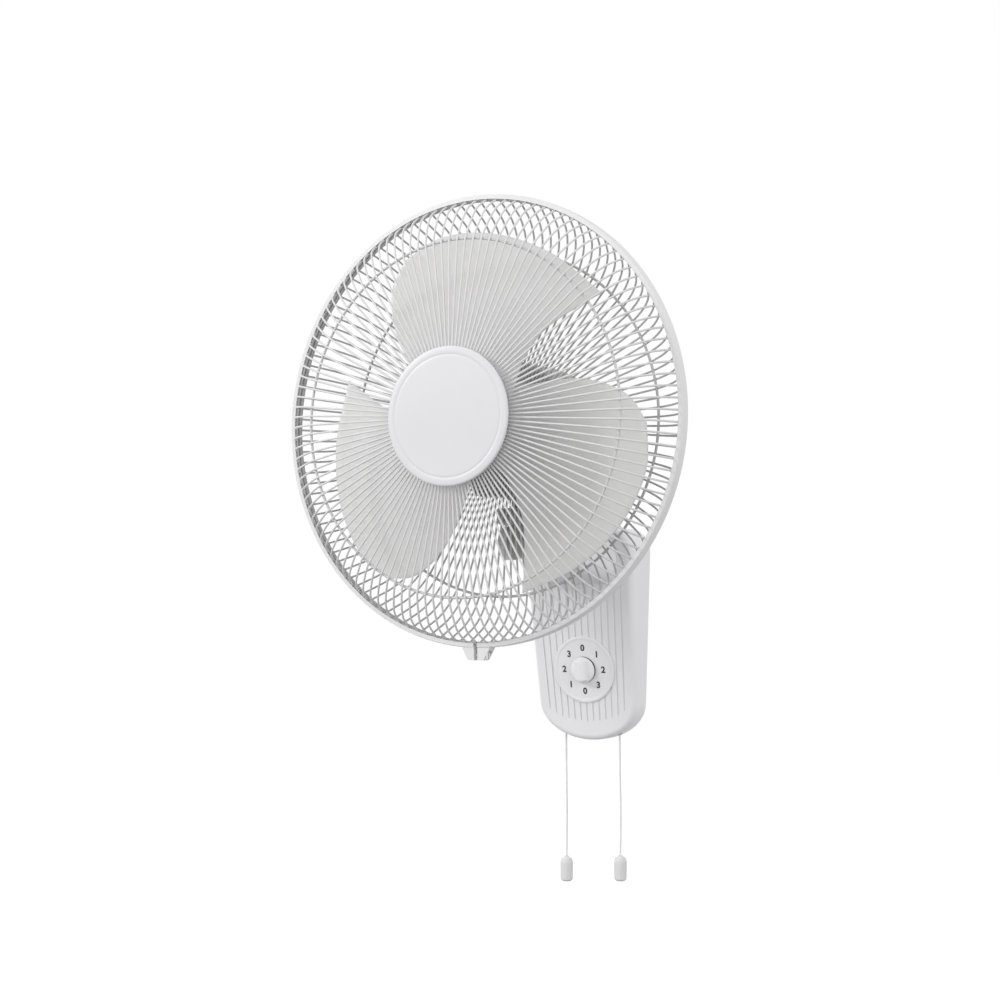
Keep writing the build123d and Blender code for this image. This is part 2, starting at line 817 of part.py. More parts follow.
collar_top = sleeve_end - thrust_washer
tilt_centre = (0, -tilt_reach, tilt_height)
tongue_half = ear_inner - 0.5
neck_waist = tilt_height + ear_radius + 1.0
with BuildPart() as neck_block:
    with BuildSketch(Plane(origin=(0, -pan_reach, neck_waist))):
        Circle(collar_radius)
    extrude(amount=collar_top - neck_waist)
    fillet(edges().filter_by(GeomType.CIRCLE).sort_by(Axis.Z)[0], 5)
    with BuildSketch(side_plane(*tilt_centre)):
        Circle(15)
    extrude(amount=tongue_half, both=True)
    with BuildSketch(Plane(origin=(0, -pan_reach, tilt_height))):
        with Locations((0, (pan_reach - tilt_reach) / 2)):
            Rectangle(2 * tongue_half, 26)
    extrude(amount=neck_waist - tilt_height + 6)
    with BuildSketch(side_plane(*tilt_centre)):
        Circle(tilt_bolt_radius + slip_fit)
    extrude(amount=tongue_half, both=True, mode=Mode.SUBTRACT)
    with BuildSketch(Plane(origin=(0, -pan_reach, collar_top))):
        Circle(spindle_radius)
        with Locations((anchor_radius, 0)):
            Circle(drive_pin_radius + slip_fit)
    extrude(amount=-11, mode=Mode.SUBTRACT)
save(neck_block, "neck_block")

spindle_bottom = collar_top - 11
spindle_top = bore_top + 2.4
with BuildPart() as swivel_spindle:
    with BuildSketch(Plane(origin=(0, -pan_reach, spindle_bottom))):
        Circle(spindle_radius - slip_fit)
    extrude(amount=spindle_top - spindle_bottom)
    with BuildSketch(Plane(origin=(0, -pan_reach, bore_top + 0.3))):
        Circle(spindle_radius + 1)
        Circle(spindle_radius - 1.2, mode=Mode.SUBTRACT)
    extrude(amount=1.2, mode=Mode.SUBTRACT)
save(swivel_spindle, "swivel_spindle")

with BuildPart() as spindle_clip:
    with BuildSketch(Plane(origin=(0, -pan_reach, bore_top + 0.35))):
        Circle(spindle_radius + 3)
        Circle(spindle_radius - 1.15, mode=Mode.SUBTRACT)
        with Locations((0, spindle_radius + 2)):
            Rectangle(6, 10, mode=Mode.SUBTRACT)
    extrude(amount=1.1)
save(spindle_clip, "spindle_clip")

with BuildPart() as swivel_washer:
    with BuildSketch(Plane(origin=(0, -pan_reach, collar_top))):
        Circle(sleeve_foot_radius)
        Circle(spindle_radius + slip_fit, mode=Mode.SUBTRACT)
    extrude(amount=thrust_washer)
save(swivel_washer, "swivel_washer")

# ---------------------------------------------------------------- swing drive
link_floor = collar_top + 1.0
link_top = link_floor + link_thickness
crank_floor = link_top + 0.4
crank_top = crank_floor + 3.0
drive_motor_radius = 19.0
drive_motor_floor = head_height - 50.0
drive_shaft_radius = 2.5
link_eye_radius = 4.2
slot_half_width = 4.4  # the link's slot lets the crank pin run clear of its parallel path
slot_half_length = 2.4
slot_shift = (anchor_radius - crank_radius) * 0.7

with BuildPart() as oscillation_motor:
    with BuildSketch(Plane(origin=(crank_x, crank_y, drive_motor_floor))):
        Circle(drive_motor_radius)
    extrude(amount=14)
    with BuildSketch(Plane(origin=(crank_x, crank_y, drive_motor_floor))):
        Circle(drive_shaft_radius + 1.5)
    extrude(amount=-4)
    with BuildSketch(Plane(origin=(crank_x, crank_y, drive_motor_floor - 4))):
        Circle(drive_shaft_radius + slip_fit)
    extrude(amount=12, mode=Mode.SUBTRACT)
save(oscillation_motor, "oscillation_motor")

with BuildPart() as oscillation_crank:
    with BuildSketch(Plane(origin=(crank_x, crank_y, crank_floor))):
        Circle(6)
        with Locations((crank_radius, 0)):
            Circle(4.5)
        with Locations((crank_radius / 2, 0)):
            Rectangle(crank_radius, 9)
    extrude(amount=crank_top - crank_floor)
    with BuildSketch(Plane(origin=(crank_x, crank_y, crank_top))):
        Circle(drive_shaft_radius)
    extrude(amount=drive_motor_floor - crank_top + 7)
    with BuildSketch(Plane(origin=(crank_x + crank_radius, crank_y, crank_floor))):
        Circle(drive_pin_radius)
    extrude(amount=-link_thickness - 0.8)
save(oscillation_crank, "oscillation_crank")

with BuildPart() as oscillation_link:
    with BuildSketch(Plane(origin=(anchor_radius, -pan_reach, link_floor))) as bar:
        Circle(link_eye_radius)
        with Locations((0, crank_behind / 2)):
            Rectangle(6, crank_behind)
        with Locations((-slot_shift, crank_behind)):
            SlotCenterToCenter(2 * slot_half_length, 2 * slot_half_width + 5)
            SlotCenterToCenter(2 * slot_half_length, 2 * slot_half_width, mode=Mode.SUBTRACT)
        Circle(drive_pin_radius + slip_fit, mode=Mode.SUBTRACT)
    extrude(amount=link_thickness)
save(oscillation_link, "oscillation_link")

with BuildPart() as anchor_pin:
    with BuildSketch(Plane(origin=(anchor_radius, -pan_reach, collar_top - 11))):
        Circle(drive_pin_radius)
    extrude(amount=link_top - collar_top + 11 + 0.4)
save(anchor_pin, "anchor_pin")

# ---------------------------------------------------------------- base housing
plate_back = bracket_thickness
plate_front = plate_back + plate_thickness
base_floor = dial_height - round_start - round_depth
side_slope = tan(radians(side_taper))
round_half = base_half_width - round_start * side_slope


def base_outline(inset):
    """Outline of the base, seen from the front, moved in by inset."""
    low = dial_height - round_start
    high = dial_height + base_top - inset
    wide = round_half - inset
    deep = round_depth - inset
    join = degrees(atan2(side_slope * deep, wide))  # where the round runs into the sides
    side_x = wide * cos(radians(join))
    side_z = low - deep * sin(radians(join))
    top_x = side_x + (high - side_z) * side_slope
    with BuildSketch(Plane.XZ.offset(rim_gap)) as outline:
        with BuildLine():
            EllipticalCenterArc((0, low), wide, deep, 180 + join, arc_size=180 - 2 * join)
            Line((side_x, side_z), (top_x, high))
            ThreePointArc((top_x, high), (0, high + top_crown), (-top_x, high))
            Line((-top_x, high), (-side_x, side_z))
        make_face()
        fillet(vertices().group_by(Axis.Y)[-1], top_corner - inset)
    return outline.sketch


def housing_block(inset):
    """The base housing as one block under its sloping face."""
    outline = base_outline(inset)
    with BuildPart() as block:
        extrude(outline, amount=90, dir=(0, -1, 0))
        split(bisect_by=face_plane.offset(-inset), keep=Keep.BOTTOM)
        front = faces().sort_by(Axis.Y)[0]
        fillet(front.edges(), edge_radius - inset)
    return block.part


def arm_block(inset):
    """The arm as one smooth block from inside the housing to the tilt ears."""
    with BuildPart() as block:
        for reach, half, low, high, corner in arm_sections:
            with BuildSketch(Plane.XZ.offset(reach)):
                with Locations((0, (low + high) / 2)):
                    RectangleRounded(2 * (half - inset), high - low - 2 * inset, corner - inset)
        loft()
    return block.part


housing_outer = housing_block(0)
housing_inner = housing_block(shell_wall)
arm_outer = arm_block(0)
arm_inner = arm_block(shell_wall)
arm_end = arm_sections[-1][0]
ear_face = arm_sections[-1][1] - 1
boss_places = [(-14, -100), (14, -100), (-50, 20), (50, 20)]

with BuildPart() as arm_hollow:
    add(arm_inner)
    split(bisect_by=Plane.XZ.offset(arm_end - 14), keep=Keep.BOTTOM)

with BuildPart() as front_housing:
    add(housing_outer)
    with BuildSketch(face_plane):
        for number in range(groove_count):
            place = number - (groove_count - 1) / 2
            share = place / ((groove_count - 1) / 2)
            low = -groove_bottom - groove_arc_drop * sqrt(1 - 0.9 * share * share)
            lean = share * side_taper
            middle = (low + groove_top) / 2
            shift = place * groove_pitch + (middle + groove_bottom) * tan(radians(lean))
            with Locations((shift, middle)):
                SlotOverall(groove_top - low, groove_width, rotation=90 - lean)
    extrude(amount=-groove_depth, mode=Mode.SUBTRACT)
    with BuildSketch(face_plane.offset(-groove_depth - 0.6)):
        Circle(dial_radius)
    extrude(amount=groove_depth + 0.6 + dial_raise)
    fillet(edges().filter_by(GeomType.CIRCLE).sort_by(SortBy.LENGTH)[-1], 0.8)
    add(arm_outer)
    add(housing_inner, mode=Mode.SUBTRACT)
    add(arm_hollow.part, mode=Mode.SUBTRACT)
    # tilt ears
    with BuildSketch(side_plane(*tilt_centre)):
        Circle(ear_radius)
        with Locations(((tilt_reach - arm_end + 4) / 2, 0)):
            Rectangle(tilt_reach - arm_end + 4, 24)
    extrude(amount=ear_face, both=True)
    with BuildSketch(side_plane(*tilt_centre)):
        Circle(ear_radius + 1.5)
    extrude(amount=ear_inner, both=True, mode=Mode.SUBTRACT)
    with BuildSketch(side_plane(*tilt_centre)):
        Circle(tilt_bolt_radius + slip_fit)
    extrude(amount=ear_face, both=True, mode=Mode.SUBTRACT)
    # screw bosses
    for x, z in boss_places:
        with BuildSketch(wall_plane(x, plate_front, z)):
            Circle(4.5)
        extrude(amount=face_depth(z) - shell_wall / 2 - plate_front)
        with BuildSketch(wall_plane(x, plate_front, z)):
            Circle(1.5)
        extrude(amount=12, mode=Mode.SUBTRACT)
    # spindle hole and cord holes
    with BuildSketch(face_plane.offset(dial_raise)):
        Circle(bushing_radius + seat_gap)
    extrude(amount=-8, mode=Mode.SUBTRACT)
    for side in (-1, 1):
        with BuildSketch(Plane(origin=(side * cord_x, -cord_depth, base_floor))):
            Circle(3.1)
        extrude(amount=16, mode=Mode.SUBTRACT)
save(front_housing, "front_housing")

# ---------------------------------------------------------------- back plate and wall bracket
hook_x = 24.0
hook_z = 52.0
hook_width = 12.0
lock_z = -66.0
cable_z = -14.0
cable_bush_radius = 8.0

plate_outline = base_outline(shell_wall + seat_gap)
with BuildPart() as back_plate:
    extrude(plate_outline, amount=plate_front - rim_gap, dir=(0, -1, 0))
    with BuildSketch(Plane.XZ.offset(rim_gap)):
        Rectangle(bracket_width + 2, bracket_height + 2)
    extrude(amount=plate_back - rim_gap, mode=Mode.SUBTRACT)
    with BuildSketch(Plane.XZ.offset(plate_back)):
        for x, z in boss_places:
            with Locations((x, z)):
                Circle(1.7)
        with Locations((0, cable_z)):
            Circle(cable_bush_radius)
        with Locations((-hook_x, hook_z), (hook_x, hook_z)):
            Rectangle(hook_width + 1, 9)
        with Locations((0, lock_z)):
            Circle(1.7)
    extrude(amount=plate_thickness, mode=Mode.SUBTRACT)
    with BuildSketch(Plane.XZ.offset(rim_gap)):
        for x, z in boss_places:
            with Locations((x, z)):
                Circle(3.4)
    extrude(amount=plate_back + 1.2 - rim_gap, mode=Mode.SUBTRACT)
save(back_plate, "back_plate")

with BuildPart() as wall_bracket:
    with BuildSketch(Plane.XZ):
        RectangleRounded(bracket_width, bracket_height, 6)
        with GridLocations(screw_spacing_x, screw_spacing_z, 2, 2):
            Circle(wall_hole_radius, mode=Mode.SUBTRACT)
        with Locations((0, cable_z)):
            Circle(cable_bush_radius + 2, mode=Mode.SUBTRACT)
        with Locations((0, lock_z)):
            Circle(1.3, mode=Mode.SUBTRACT)
    extrude(amount=bracket_thickness)
    for x in (-hook_x, hook_x):
        with BuildSketch(side_plane(x - hook_width / 2, 0, hook_z)):
            with BuildLine():
                Polyline(
                    (-bracket_thickness, -3),
                    (-plate_front - 0.4 - bracket_thickness, -3),
                    (-plate_front - 0.4 - bracket_thickness, 8),
                    (-plate_front - 0.4, 8),
                    (-plate_front - 0.4, -1.5),
                    (-bracket_thickness, -1.5),
                    close=True,
                )
            make_face()
        extrude(amount=hook_width)
save(wall_bracket, "wall_bracket")

with BuildPart() as housing_screws:
    for x, z in boss_places:
        with BuildSketch(Plane(origin=(x, -plate_back - 1.2, z), z_dir=(0, 1, 0))):
            Circle(3.2)
        extrude(amount=1.6)
        with BuildSketch(Plane(origin=(x, -plate_back - 1.2, z), z_dir=(0, -1, 0))):
            Circle(1.5 - slip_fit)
        extrude(amount=12)
save(housing_screws, "housing_screws")

with BuildPart() as lock_screw:
    with BuildSketch(Plane(origin=(0, -plate_front, lock_z), z_dir=(0, -1, 0))):
        Circle(3.2)
    extrude(amount=2)
    with BuildSketch(Plane(origin=(0, -plate_front, lock_z), z_dir=(0, 1, 0))):
        Circle(1.3 - slip_fit)
    extrude(amount=plate_front - 0.2)
save(lock_screw, "lock_screw")

with BuildPart() as cable_bush:
    with BuildSketch(Plane(origin=(0, -plate_back + 0.8, cable_z), z_dir=(0, -1, 0))):
        Circle(cable_bush_radius - slip_fit)
        Circle(cable_bore_radius, mode=Mode.SUBTRACT)
    extrude(amount=plate_thickness + 0.8 + 1.2)
    with BuildSketch(Plane(origin=(0, -plate_front, cable_z), z_dir=(0, -1, 0))):
        Circle(cable_bush_radius + 2)
        Circle(cable_bore_radius, mode=Mode.SUBTRACT)
    extrude(amount=1.2)
save(cable_bush, "cable_bush")

# ---------------------------------------------------------------- tilt joint hardware
with BuildPart() as tilt_bolt:
    with BuildSketch(Plane(origin=(ear_face, -tilt_reach, tilt_height), z_dir=(1, 0, 0))):
        Circle(8)
    extrude(amount=4)
    fillet(faces().sort_by(Axis.X)[-1].edges(), 2)
    with BuildSketch(Plane(origin=(ear_face, -tilt_reach, tilt_height), z_dir=(-1, 0, 0))):
        Circle(tilt_bolt_radius)
    extrude(amount=2 * ear_face + 8)
save(tilt_bolt, "tilt_bolt")

with BuildPart() as tilt_nut:
    with BuildSketch(Plane(origin=(-ear_face, -tilt_reach, tilt_height), z_dir=(-1, 0, 0))):
        RegularPolygon(7.5, 6)
        Circle(tilt_bolt_radius + slip_fit, mode=Mode.SUBTRACT)
    extrude(amount=6)
save(tilt_nut, "tilt_nut")

# ---------------------------------------------------------------- speed switch and knob
switch_face = -shell_wall
with BuildPart() as speed_switch:
    with BuildSketch(face_plane.offset(switch_face)):
        RectangleRounded(switch_side, switch_side, 2)
    extrude(amount=-switch_depth)
    with BuildSketch(face_plane.offset(switch_face)):
        Circle(bushing_radius)
    extrude(amount=-switch_face + dial_raise + 3)
    with BuildSketch(face_plane.offset(switch_face - 8)):
        Circle(dial_spindle_radius + slip_fit)
    extrude(amount=20, mode=Mode.SUBTRACT)
    with BuildSketch(face_plane.offset(switch_face - switch_depth)):
        with GridLocations(6, 16, 3, 2):
            Rectangle(0.8, 4)
    extrude(amount=-4)
save(speed_switch, "speed_switch")

with BuildPart() as switch_nut:
    with BuildSketch(face_plane.offset(dial_raise)):
        RegularPolygon(7.4, 6)
        Circle(bushing_radius + slip_fit, mode=Mode.SUBTRACT)
    extrude(amount=2.2)
save(switch_nut, "switch_nut")

knob_gap = 0.5
knob_floor = dial_raise + knob_gap
with BuildPart() as speed_knob:
    with BuildSketch(face_plane.offset(knob_floor)):
        Circle(knob_radius)
    extrude(amount=knob_height - 5, taper=1.5)
    fillet(faces().sort_by(Axis.Y)[0].edges(), 1.2)
    with BuildSketch(face_plane.offset(knob_floor + 3)):
        with Locations((0, 0)):
            SlotOverall(2 * knob_radius - 2.4, 7.5, rotation=90)
    extrude(amount=knob_height - 3, taper=4)
    fillet(faces().sort_by(Axis.Y)[0].edges(), 1.0)
    with BuildSketch(face_plane.offset(knob_floor)):
        Circle(10.2)
    extrude(amount=3.4, mode=Mode.SUBTRACT)
    with BuildSketch(face_plane.offset(knob_floor)):
        Circle(dial_spindle_radius + slip_fit)
    extrude(amount=knob_height - 3, mode=Mode.SUBTRACT)
save(speed_knob, "speed_knob")

with BuildPart() as dial_spindle:
    with BuildSketch(face_plane.offset(switch_face - 7.5)):
        Circle(dial_spindle_radius)
    extrude(amount=7.5 - switch_face + knob_floor + knob_height - 3.5)
save(dial_spindle, "dial_spindle")

# ---------------------------------------------------------------- pull cords and their switches
cord_switch_height = 34.0
slider_side = 6.0
slider_length = 16.0
slider_room = 4.6  # left between a grommet and the slider that is pulled right down
grommet_rise = 5.0
outline_drop = round_depth * sqrt(1 - (cord_x / round_half) ** 2)
cord_hole_height = dial_height - round_start - outline_drop
slider_floor = cord_hole_height + grommet_rise + slider_travel + slider_room
cord_switch_floor = slider_floor - 1.0
pull_top = -235.0
pull_lag = 5.0  # the left pull hangs this much lower
cord_bow = 0.8


def pull_height(side):
    return pull_top if side > 0 else pull_top - pull_lag


def cord_route(side):
    """Points of one cord from its slider down to its pull, with the slight set of a real one."""
    x = side * cord_x
    return [
        (x, -cord_depth, slider_floor),
        (x + 0.02, -cord_depth, slider_floor - 38),
        (x + cord_bow, -cord_depth - 0.3, slider_floor - 80),
        (x + cord_bow * 1.1, -cord_depth + 0.4, slider_floor - 122),
        (x + cord_bow * 0.4, -cord_depth + 0.1, pull_height(side) + slip_fit),
    ]


def cord_tube(points):
    """A round cord of straight runs joined by the largest arcs that the runs allow."""
    runs = [Vector(b) - Vector(a) for a, b in zip(points, points[1:])]
    turns = [radians(a.get_angle(b)) for a, b in zip(runs, runs[1:])]
    radii = [
        0.45 * min(a.length, b.length) / tan(turn / 2)
        for a, b, turn in zip(runs, runs[1:], turns)
    ]
    with BuildPart() as tube:
        with BuildLine() as path:
            FilletPolyline(*points, radius=radii)
        with BuildSketch(Plane(path.wires()[0] ^ 0)):
            Circle(cord_diameter / 2)
        sweep(path=path.wires()[0])
    section = pi * cord_diameter**2 / 4
    print("cord radii", [round(radius) for radius in radii])
    full = section * path.wires()[0].length
    print("cord volume", round(tube.part.volume, 2), "of", round(full, 2))
    return tube.part


def cord_switch(side):
    """A switch box that the cord works from below, with its slide channel."""
    with BuildPart() as box:
        with BuildSketch(Plane(origin=(side * cord_x, -cord_depth, cord_switch_floor))):
            Rectangle(16, 2 * (cord_depth - plate_front))
        extrude(amount=cord_switch_height)
        with BuildSketch(Plane(origin=(side * cord_x, -cord_depth, cord_switch_floor))):
            Rectangle(slider_side + 2 * slip_fit, slider_side + 2 * slip_fit)
        extrude(amount=slider_length + 3, mode=Mode.SUBTRACT)
        switch_top = cord_switch_floor + cord_switch_height
        with BuildSketch(Plane(origin=(side * cord_x, -cord_depth, switch_top))):
            with GridLocations(8, 1, 2, 1):
                Rectangle(4, 0.8)
        extrude(amount=5)
    return box.part


def cord_slider(side):
    with BuildPart() as slider:
        with BuildSketch(Plane(origin=(side * cord_x, -cord_depth, slider_floor))):
            Rectangle(slider_side, slider_side)
        extrude(amount=slider_length)
    return slider.part


def cord_pull(side):
    """The moulded pull at a cord's end: a domed top over a ribbed, flared body."""
    x, y, _ = cord_route(side)[-1]
    z = pull_height(side)
    centre = Plane(origin=(x, y, z), x_dir=(1, 0, 0), z_dir=(0, -1, 0))
    rib_count = 16
    with BuildPart() as pull:
        with BuildSketch(centre):
            with BuildLine():
                Line((0, 0), (2.2, 0))
                Line((2.2, 0), (2.6, -2))
                ThreePointArc((2.6, -2), (pull_radius - 1.2, -4.4), (pull_radius, -8.5))
                Line((pull_radius, -8.5), (pull_radius - 0.5, -pull_length + 2))
                ThreePointArc(
                    (pull_radius - 0.5, -pull_length + 2),
                    (pull_radius - 1.1, -pull_length + 0.6),
                    (pull_radius - 2.5, -pull_length),
                )
                Polyline((pull_radius - 2.5, -pull_length), (0, -pull_length), (0, 0))
            make_face()
        revolve(axis=Axis((x, y, z), (0, 0, 1)))
        with BuildSketch(Plane(origin=(x, y, z - pull_length))):
            with PolarLocations(pull_radius + 0.3, rib_count):
                Circle(0.75)
        extrude(amount=pull_length - 10, mode=Mode.SUBTRACT)
    return pull.part


for side, name in ((1, "speed"), (-1, "oscillation")):
    for piece, kind in (
        (cord_switch(side), "cord_switch"),
        (cord_slider(side), "slider"),
        (cord_tube(cord_route(side)), "cord"),
        (cord_pull(side), "pull"),
    ):
        piece.label = name + "_" + kind
        export_step(piece, "parts/" + piece.label + ".step")

with BuildPart() as cord_grommets:
    with BuildSketch(Plane(origin=(0, -cord_depth, cord_hole_height - 0.2))):
        with Locations((-cord_x, 0), (cord_x, 0)):
            Circle(3.1 - slip_fit)
            Circle(1.6, mode=Mode.SUBTRACT)
    extrude(amount=grommet_rise + 0.2)
save(cord_grommets, "cord_grommets")

# ---------------------------------------------------------------- wiring pieces on the back plate
with BuildPart() as terminal_block:
    with BuildSketch(wall_plane(0, plate_front, 22)):
        Rectangle(36, 14)
    extrude(amount=12)
    with BuildSketch(wall_plane(0, plate_front + 12, 22)):
        with GridLocations(8, 1, 4, 1):
            Circle(2.2)
    extrude(amount=-6, mode=Mode.SUBTRACT)
save(terminal_block, "terminal_block")

with BuildPart() as capacitor:
    with BuildSketch(wall_plane(-34, plate_front, -14)):
        RectangleRounded(20, 36, 2)
    extrude(amount=14)
save(capacitor, "capacitor")
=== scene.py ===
"""Looks of the wall mounted fan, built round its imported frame.

Sizes are in millimetres and become metres where a mesh is made. The camera, the lamps, the floor
and a cord's exit are given in metres. The axes are the model's own: the origin is the centre of
the wall screws, +Z is up, +Y points into the wall and the fan blows along -Y. "Ahead" counts
along the head's axis from the middle of the guard's hoop, away from the wall. "Out" counts from
the sloping face of the base.
"""

import json
import math

import bmesh
import bpy
import numpy as np
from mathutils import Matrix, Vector


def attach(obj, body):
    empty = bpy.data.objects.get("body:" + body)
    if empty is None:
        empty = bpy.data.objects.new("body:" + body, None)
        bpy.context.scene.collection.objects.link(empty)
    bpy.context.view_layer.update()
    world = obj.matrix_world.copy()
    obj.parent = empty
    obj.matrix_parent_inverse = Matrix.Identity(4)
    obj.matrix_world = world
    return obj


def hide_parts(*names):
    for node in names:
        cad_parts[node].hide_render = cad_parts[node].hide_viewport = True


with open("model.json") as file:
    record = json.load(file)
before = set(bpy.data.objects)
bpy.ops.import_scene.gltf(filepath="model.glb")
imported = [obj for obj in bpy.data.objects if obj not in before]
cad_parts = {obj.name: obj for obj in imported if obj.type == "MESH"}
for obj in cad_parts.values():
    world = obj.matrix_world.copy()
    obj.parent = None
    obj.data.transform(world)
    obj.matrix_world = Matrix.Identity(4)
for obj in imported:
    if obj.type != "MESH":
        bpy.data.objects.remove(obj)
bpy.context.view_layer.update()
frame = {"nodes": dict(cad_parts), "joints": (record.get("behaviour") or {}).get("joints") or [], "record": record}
scene = bpy.context.scene
nodes = frame["nodes"]
joints = {joint["name"]: joint for joint in frame["joints"]}

MM = 0.001
FULL_TURN = 2 * math.pi


# ---------------------------------------------------------------- places on the frame
def joint_place(name):
    """Where a joint of the frame is, in millimetres."""
    return tuple(value / MM for value in joints[name]["pos_m"])


HEAD = joint_place("fan_spin")
DIAL = joint_place("dial_turn")
SLOPE = math.asin(-joints["dial_turn"]["axis"][2])


def place(radius, ahead, angle):
    """A point of the head, by its angle clockwise from the top as seen from the front."""
    a = math.radians(angle)
    return (HEAD[0] + radius * math.sin(a), HEAD[1] - ahead, HEAD[2] + radius * math.cos(a))


def on_face(across, up, out):
    """A point of the base's sloping face, counted from the middle of the dial."""
    c, s = math.cos(SLOPE), math.sin(SLOPE)
    return (DIAL[0] + across, DIAL[1] - out * c - up * s, DIAL[2] + up * c - out * s)


def in_metres(point):
    """The same point in Blender's unit."""
    return tuple(value * MM for value in point)


# ---------------------------------------------------------------- outlines
def spline(points, steps):
    """Centripetal Catmull-Rom through the points, with that many steps between each two."""

    def mix(a, b, start, end, at):
        return (end - at) / (end - start) * a + (at - start) / (end - start) * b

    def knot(before, a, b):
        return before + max(np.linalg.norm(b - a), 1e-9) ** 0.5

    p = np.array(points, float)
    p = np.vstack([2 * p[0] - p[1], p, 2 * p[-1] - p[-2]])
    curve = []
    for p0, p1, p2, p3 in zip(p, p[1:], p[2:], p[3:]):
        t1 = knot(0, p0, p1)
        t2 = knot(t1, p1, p2)
        t3 = knot(t2, p2, p3)
        for k in range(steps):
            t = t1 + (t2 - t1) * k / steps
            between = mix(p1, p2, t1, t2, t)
            early = mix(mix(p0, p1, 0, t1, t), between, 0, t2, t)
            late = mix(between, mix(p2, p3, t2, t3, t), t1, t3, t)
            curve.append(mix(early, late, t1, t2, t))
    curve.append(p[-2])
    return np.array(curve)


def even(curve, count):
    """The curve's points again, at equal lengths along it."""
    steps = np.linalg.norm(np.diff(curve, axis=0), axis=1)
    run = np.concatenate([[0], np.cumsum(steps)])
    want = np.linspace(0, run[-1], count + 1)
    return np.column_stack([np.interp(want, run, curve[:, i]) for i in (0, 1)])


def soften(points, radii, steps=4):
    """The outline with its corners rounded, each about as an arc of its radius would."""
    longest_share = 0.48  # of a side, so that the curves at its two ends stay apart
    corners = [np.array(point, float) for point in points]
    outline = []
    for i, (corner, radius) in enumerate(zip(corners, radii)):
        if radius == 0:
            outline.append(tuple(corner))
            continue
        back = corners[i - 1] - corner
        on = corners[(i + 1) % len(corners)] - corner
        back_length, on_length = np.linalg.norm(back), np.linalg.norm(on)
        back, on = back / back_length, on / on_length
        turn = math.acos(max(-1, min(1, float(np.dot(back, on)))))
        reach = min(radius / math.tan(turn / 2), longest_share * back_length, longest_share * on_length)
        for k in range(steps + 1):
            t = k / steps
            start, end = corner + back * reach, corner + on * reach
            outline.append(tuple(start * (1 - t) ** 2 + corner * 2 * t * (1 - t) + end * t**2))
    return outline


# ---------------------------------------------------------------- shapes, as verts and faces
def join(shapes):
    """One shape from several."""
    verts, faces = [], []
    for own_verts, own_faces in shapes:
        first = len(verts)
        verts += own_verts
        faces += [tuple(first + i for i in face) for face in own_faces]
    return verts, faces


def loft(rings, cap=True):
    """A skin over rings of points, one after the other, with both ends closed if cap is set."""
    count = len(rings[0])
    verts = [point for ring in rings for point in ring]
    faces = []
    for first in range(0, len(verts) - count, count):
        for j in range(count):
            k = (j + 1) % count
            faces.append((first + j, first + k, first + count + k, first + count + j))
    if cap:
        faces.append(tuple(range(count)))
        faces.append(tuple(len(verts) - 1 - j for j in range(count)))
    return verts, faces


def tube(points, radius, sides):
    """A round tube along points. Each end has one more ring, smaller, so that it looks rounded."""
    end_reach, end_scale = 0.45, 0.55
    off_axis = (0.31, 0.17, 0.93)  # any direction that the tube doesn't take
    path = np.array(points, float)
    ahead = np.gradient(path, axis=0)
    ahead /= np.linalg.norm(ahead, axis=1)[:, None]
    line = [(path[0] - ahead[0] * radius * end_reach, end_scale, ahead[0])]
    line += [(point, 1.0, way) for point, way in zip(path, ahead)]
    line += [(path[-1] + ahead[-1] * radius * end_reach, end_scale, ahead[-1])]
    side = np.cross(ahead[0], off_axis)
    rings = []
    for middle, scale, way in line:
        side = side - way * np.dot(side, way)
        side /= np.linalg.norm(side)
        across = np.cross(way, side)
        rings.append([
            middle + radius * scale * (side * math.cos(a) + across * math.sin(a))
            for a in np.linspace(0, FULL_TURN, sides, endpoint=False)
        ])
    return loft(rings)


def turned(profile, count, point):
    """A closed (radius, along) profile taken round an axis; point(radius, along, share of a turn)
    says where. A radius of 0 becomes one point."""
    verts, rings = [], []
    for radius, along in profile:
        first = len(verts)
        if radius == 0:
            rings.append([first] * count)
            verts.append(point(radius, along, 0))
        else:
            rings.append(list(range(first, first + count)))
            verts += [point(radius, along, k / count) for k in range(count)]
    faces = []
    for here, there in zip(rings, rings[1:] + rings[:1]):
        for j in range(count):
            k = (j + 1) % count
            face = dict.fromkeys((here[j], here[k], there[k], there[j]))
            if len(face) > 2:
                faces.append(tuple(face))
    return verts, faces


def lathe(profile, count):
    """A (radius, ahead) profile turned about the head's axis."""
    return turned(profile, count, lambda radius, ahead, share: place(radius, ahead, 360 * share))


# ---------------------------------------------------------------- pieces
# Degrees: an edge that turns by more than this stays sharp. ROUND is for wires and blades.
CRISP = 40
ROUND = 60


def add_object(name, data):
    """A new object in the scene."""
    obj = bpy.data.objects.new(name, data)
    scene.collection.objects.link(obj)
    return obj


def make(name, shape, material, body, replaces=None, sharp=CRISP):
    """A piece from a shape in millimetres, riding on a body of the frame."""
    verts, faces = shape
    mesh = bpy.data.meshes.new(name)
    mesh.from_pydata([in_metres(point) for point in verts], [], faces)
    bm = bmesh.new()
    bm.from_mesh(mesh)
    bmesh.ops.recalc_face_normals(bm, faces=bm.faces)
    bm.to_mesh(mesh)
    bm.free()
    mesh.materials.append(material)
    mesh.shade_smooth()
    mesh.set_sharp_from_angle(angle=math.radians(sharp))
    piece = add_object(name, mesh)
    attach(piece, body)
    if replaces:
        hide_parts(replaces)
    return piece


# ---------------------------------------------------------------- material nodes
def add(tree, kind, **values):
    """A new node. A value goes to the input of that name, or else to the node's setting."""
    node = tree.nodes.new(kind)
    for key, value in values.items():
        socket = key.replace("_", " ")
        if socket in node.inputs:
            node.inputs[socket].default_value = value
        else:
            setattr(node, key, value)
    return node


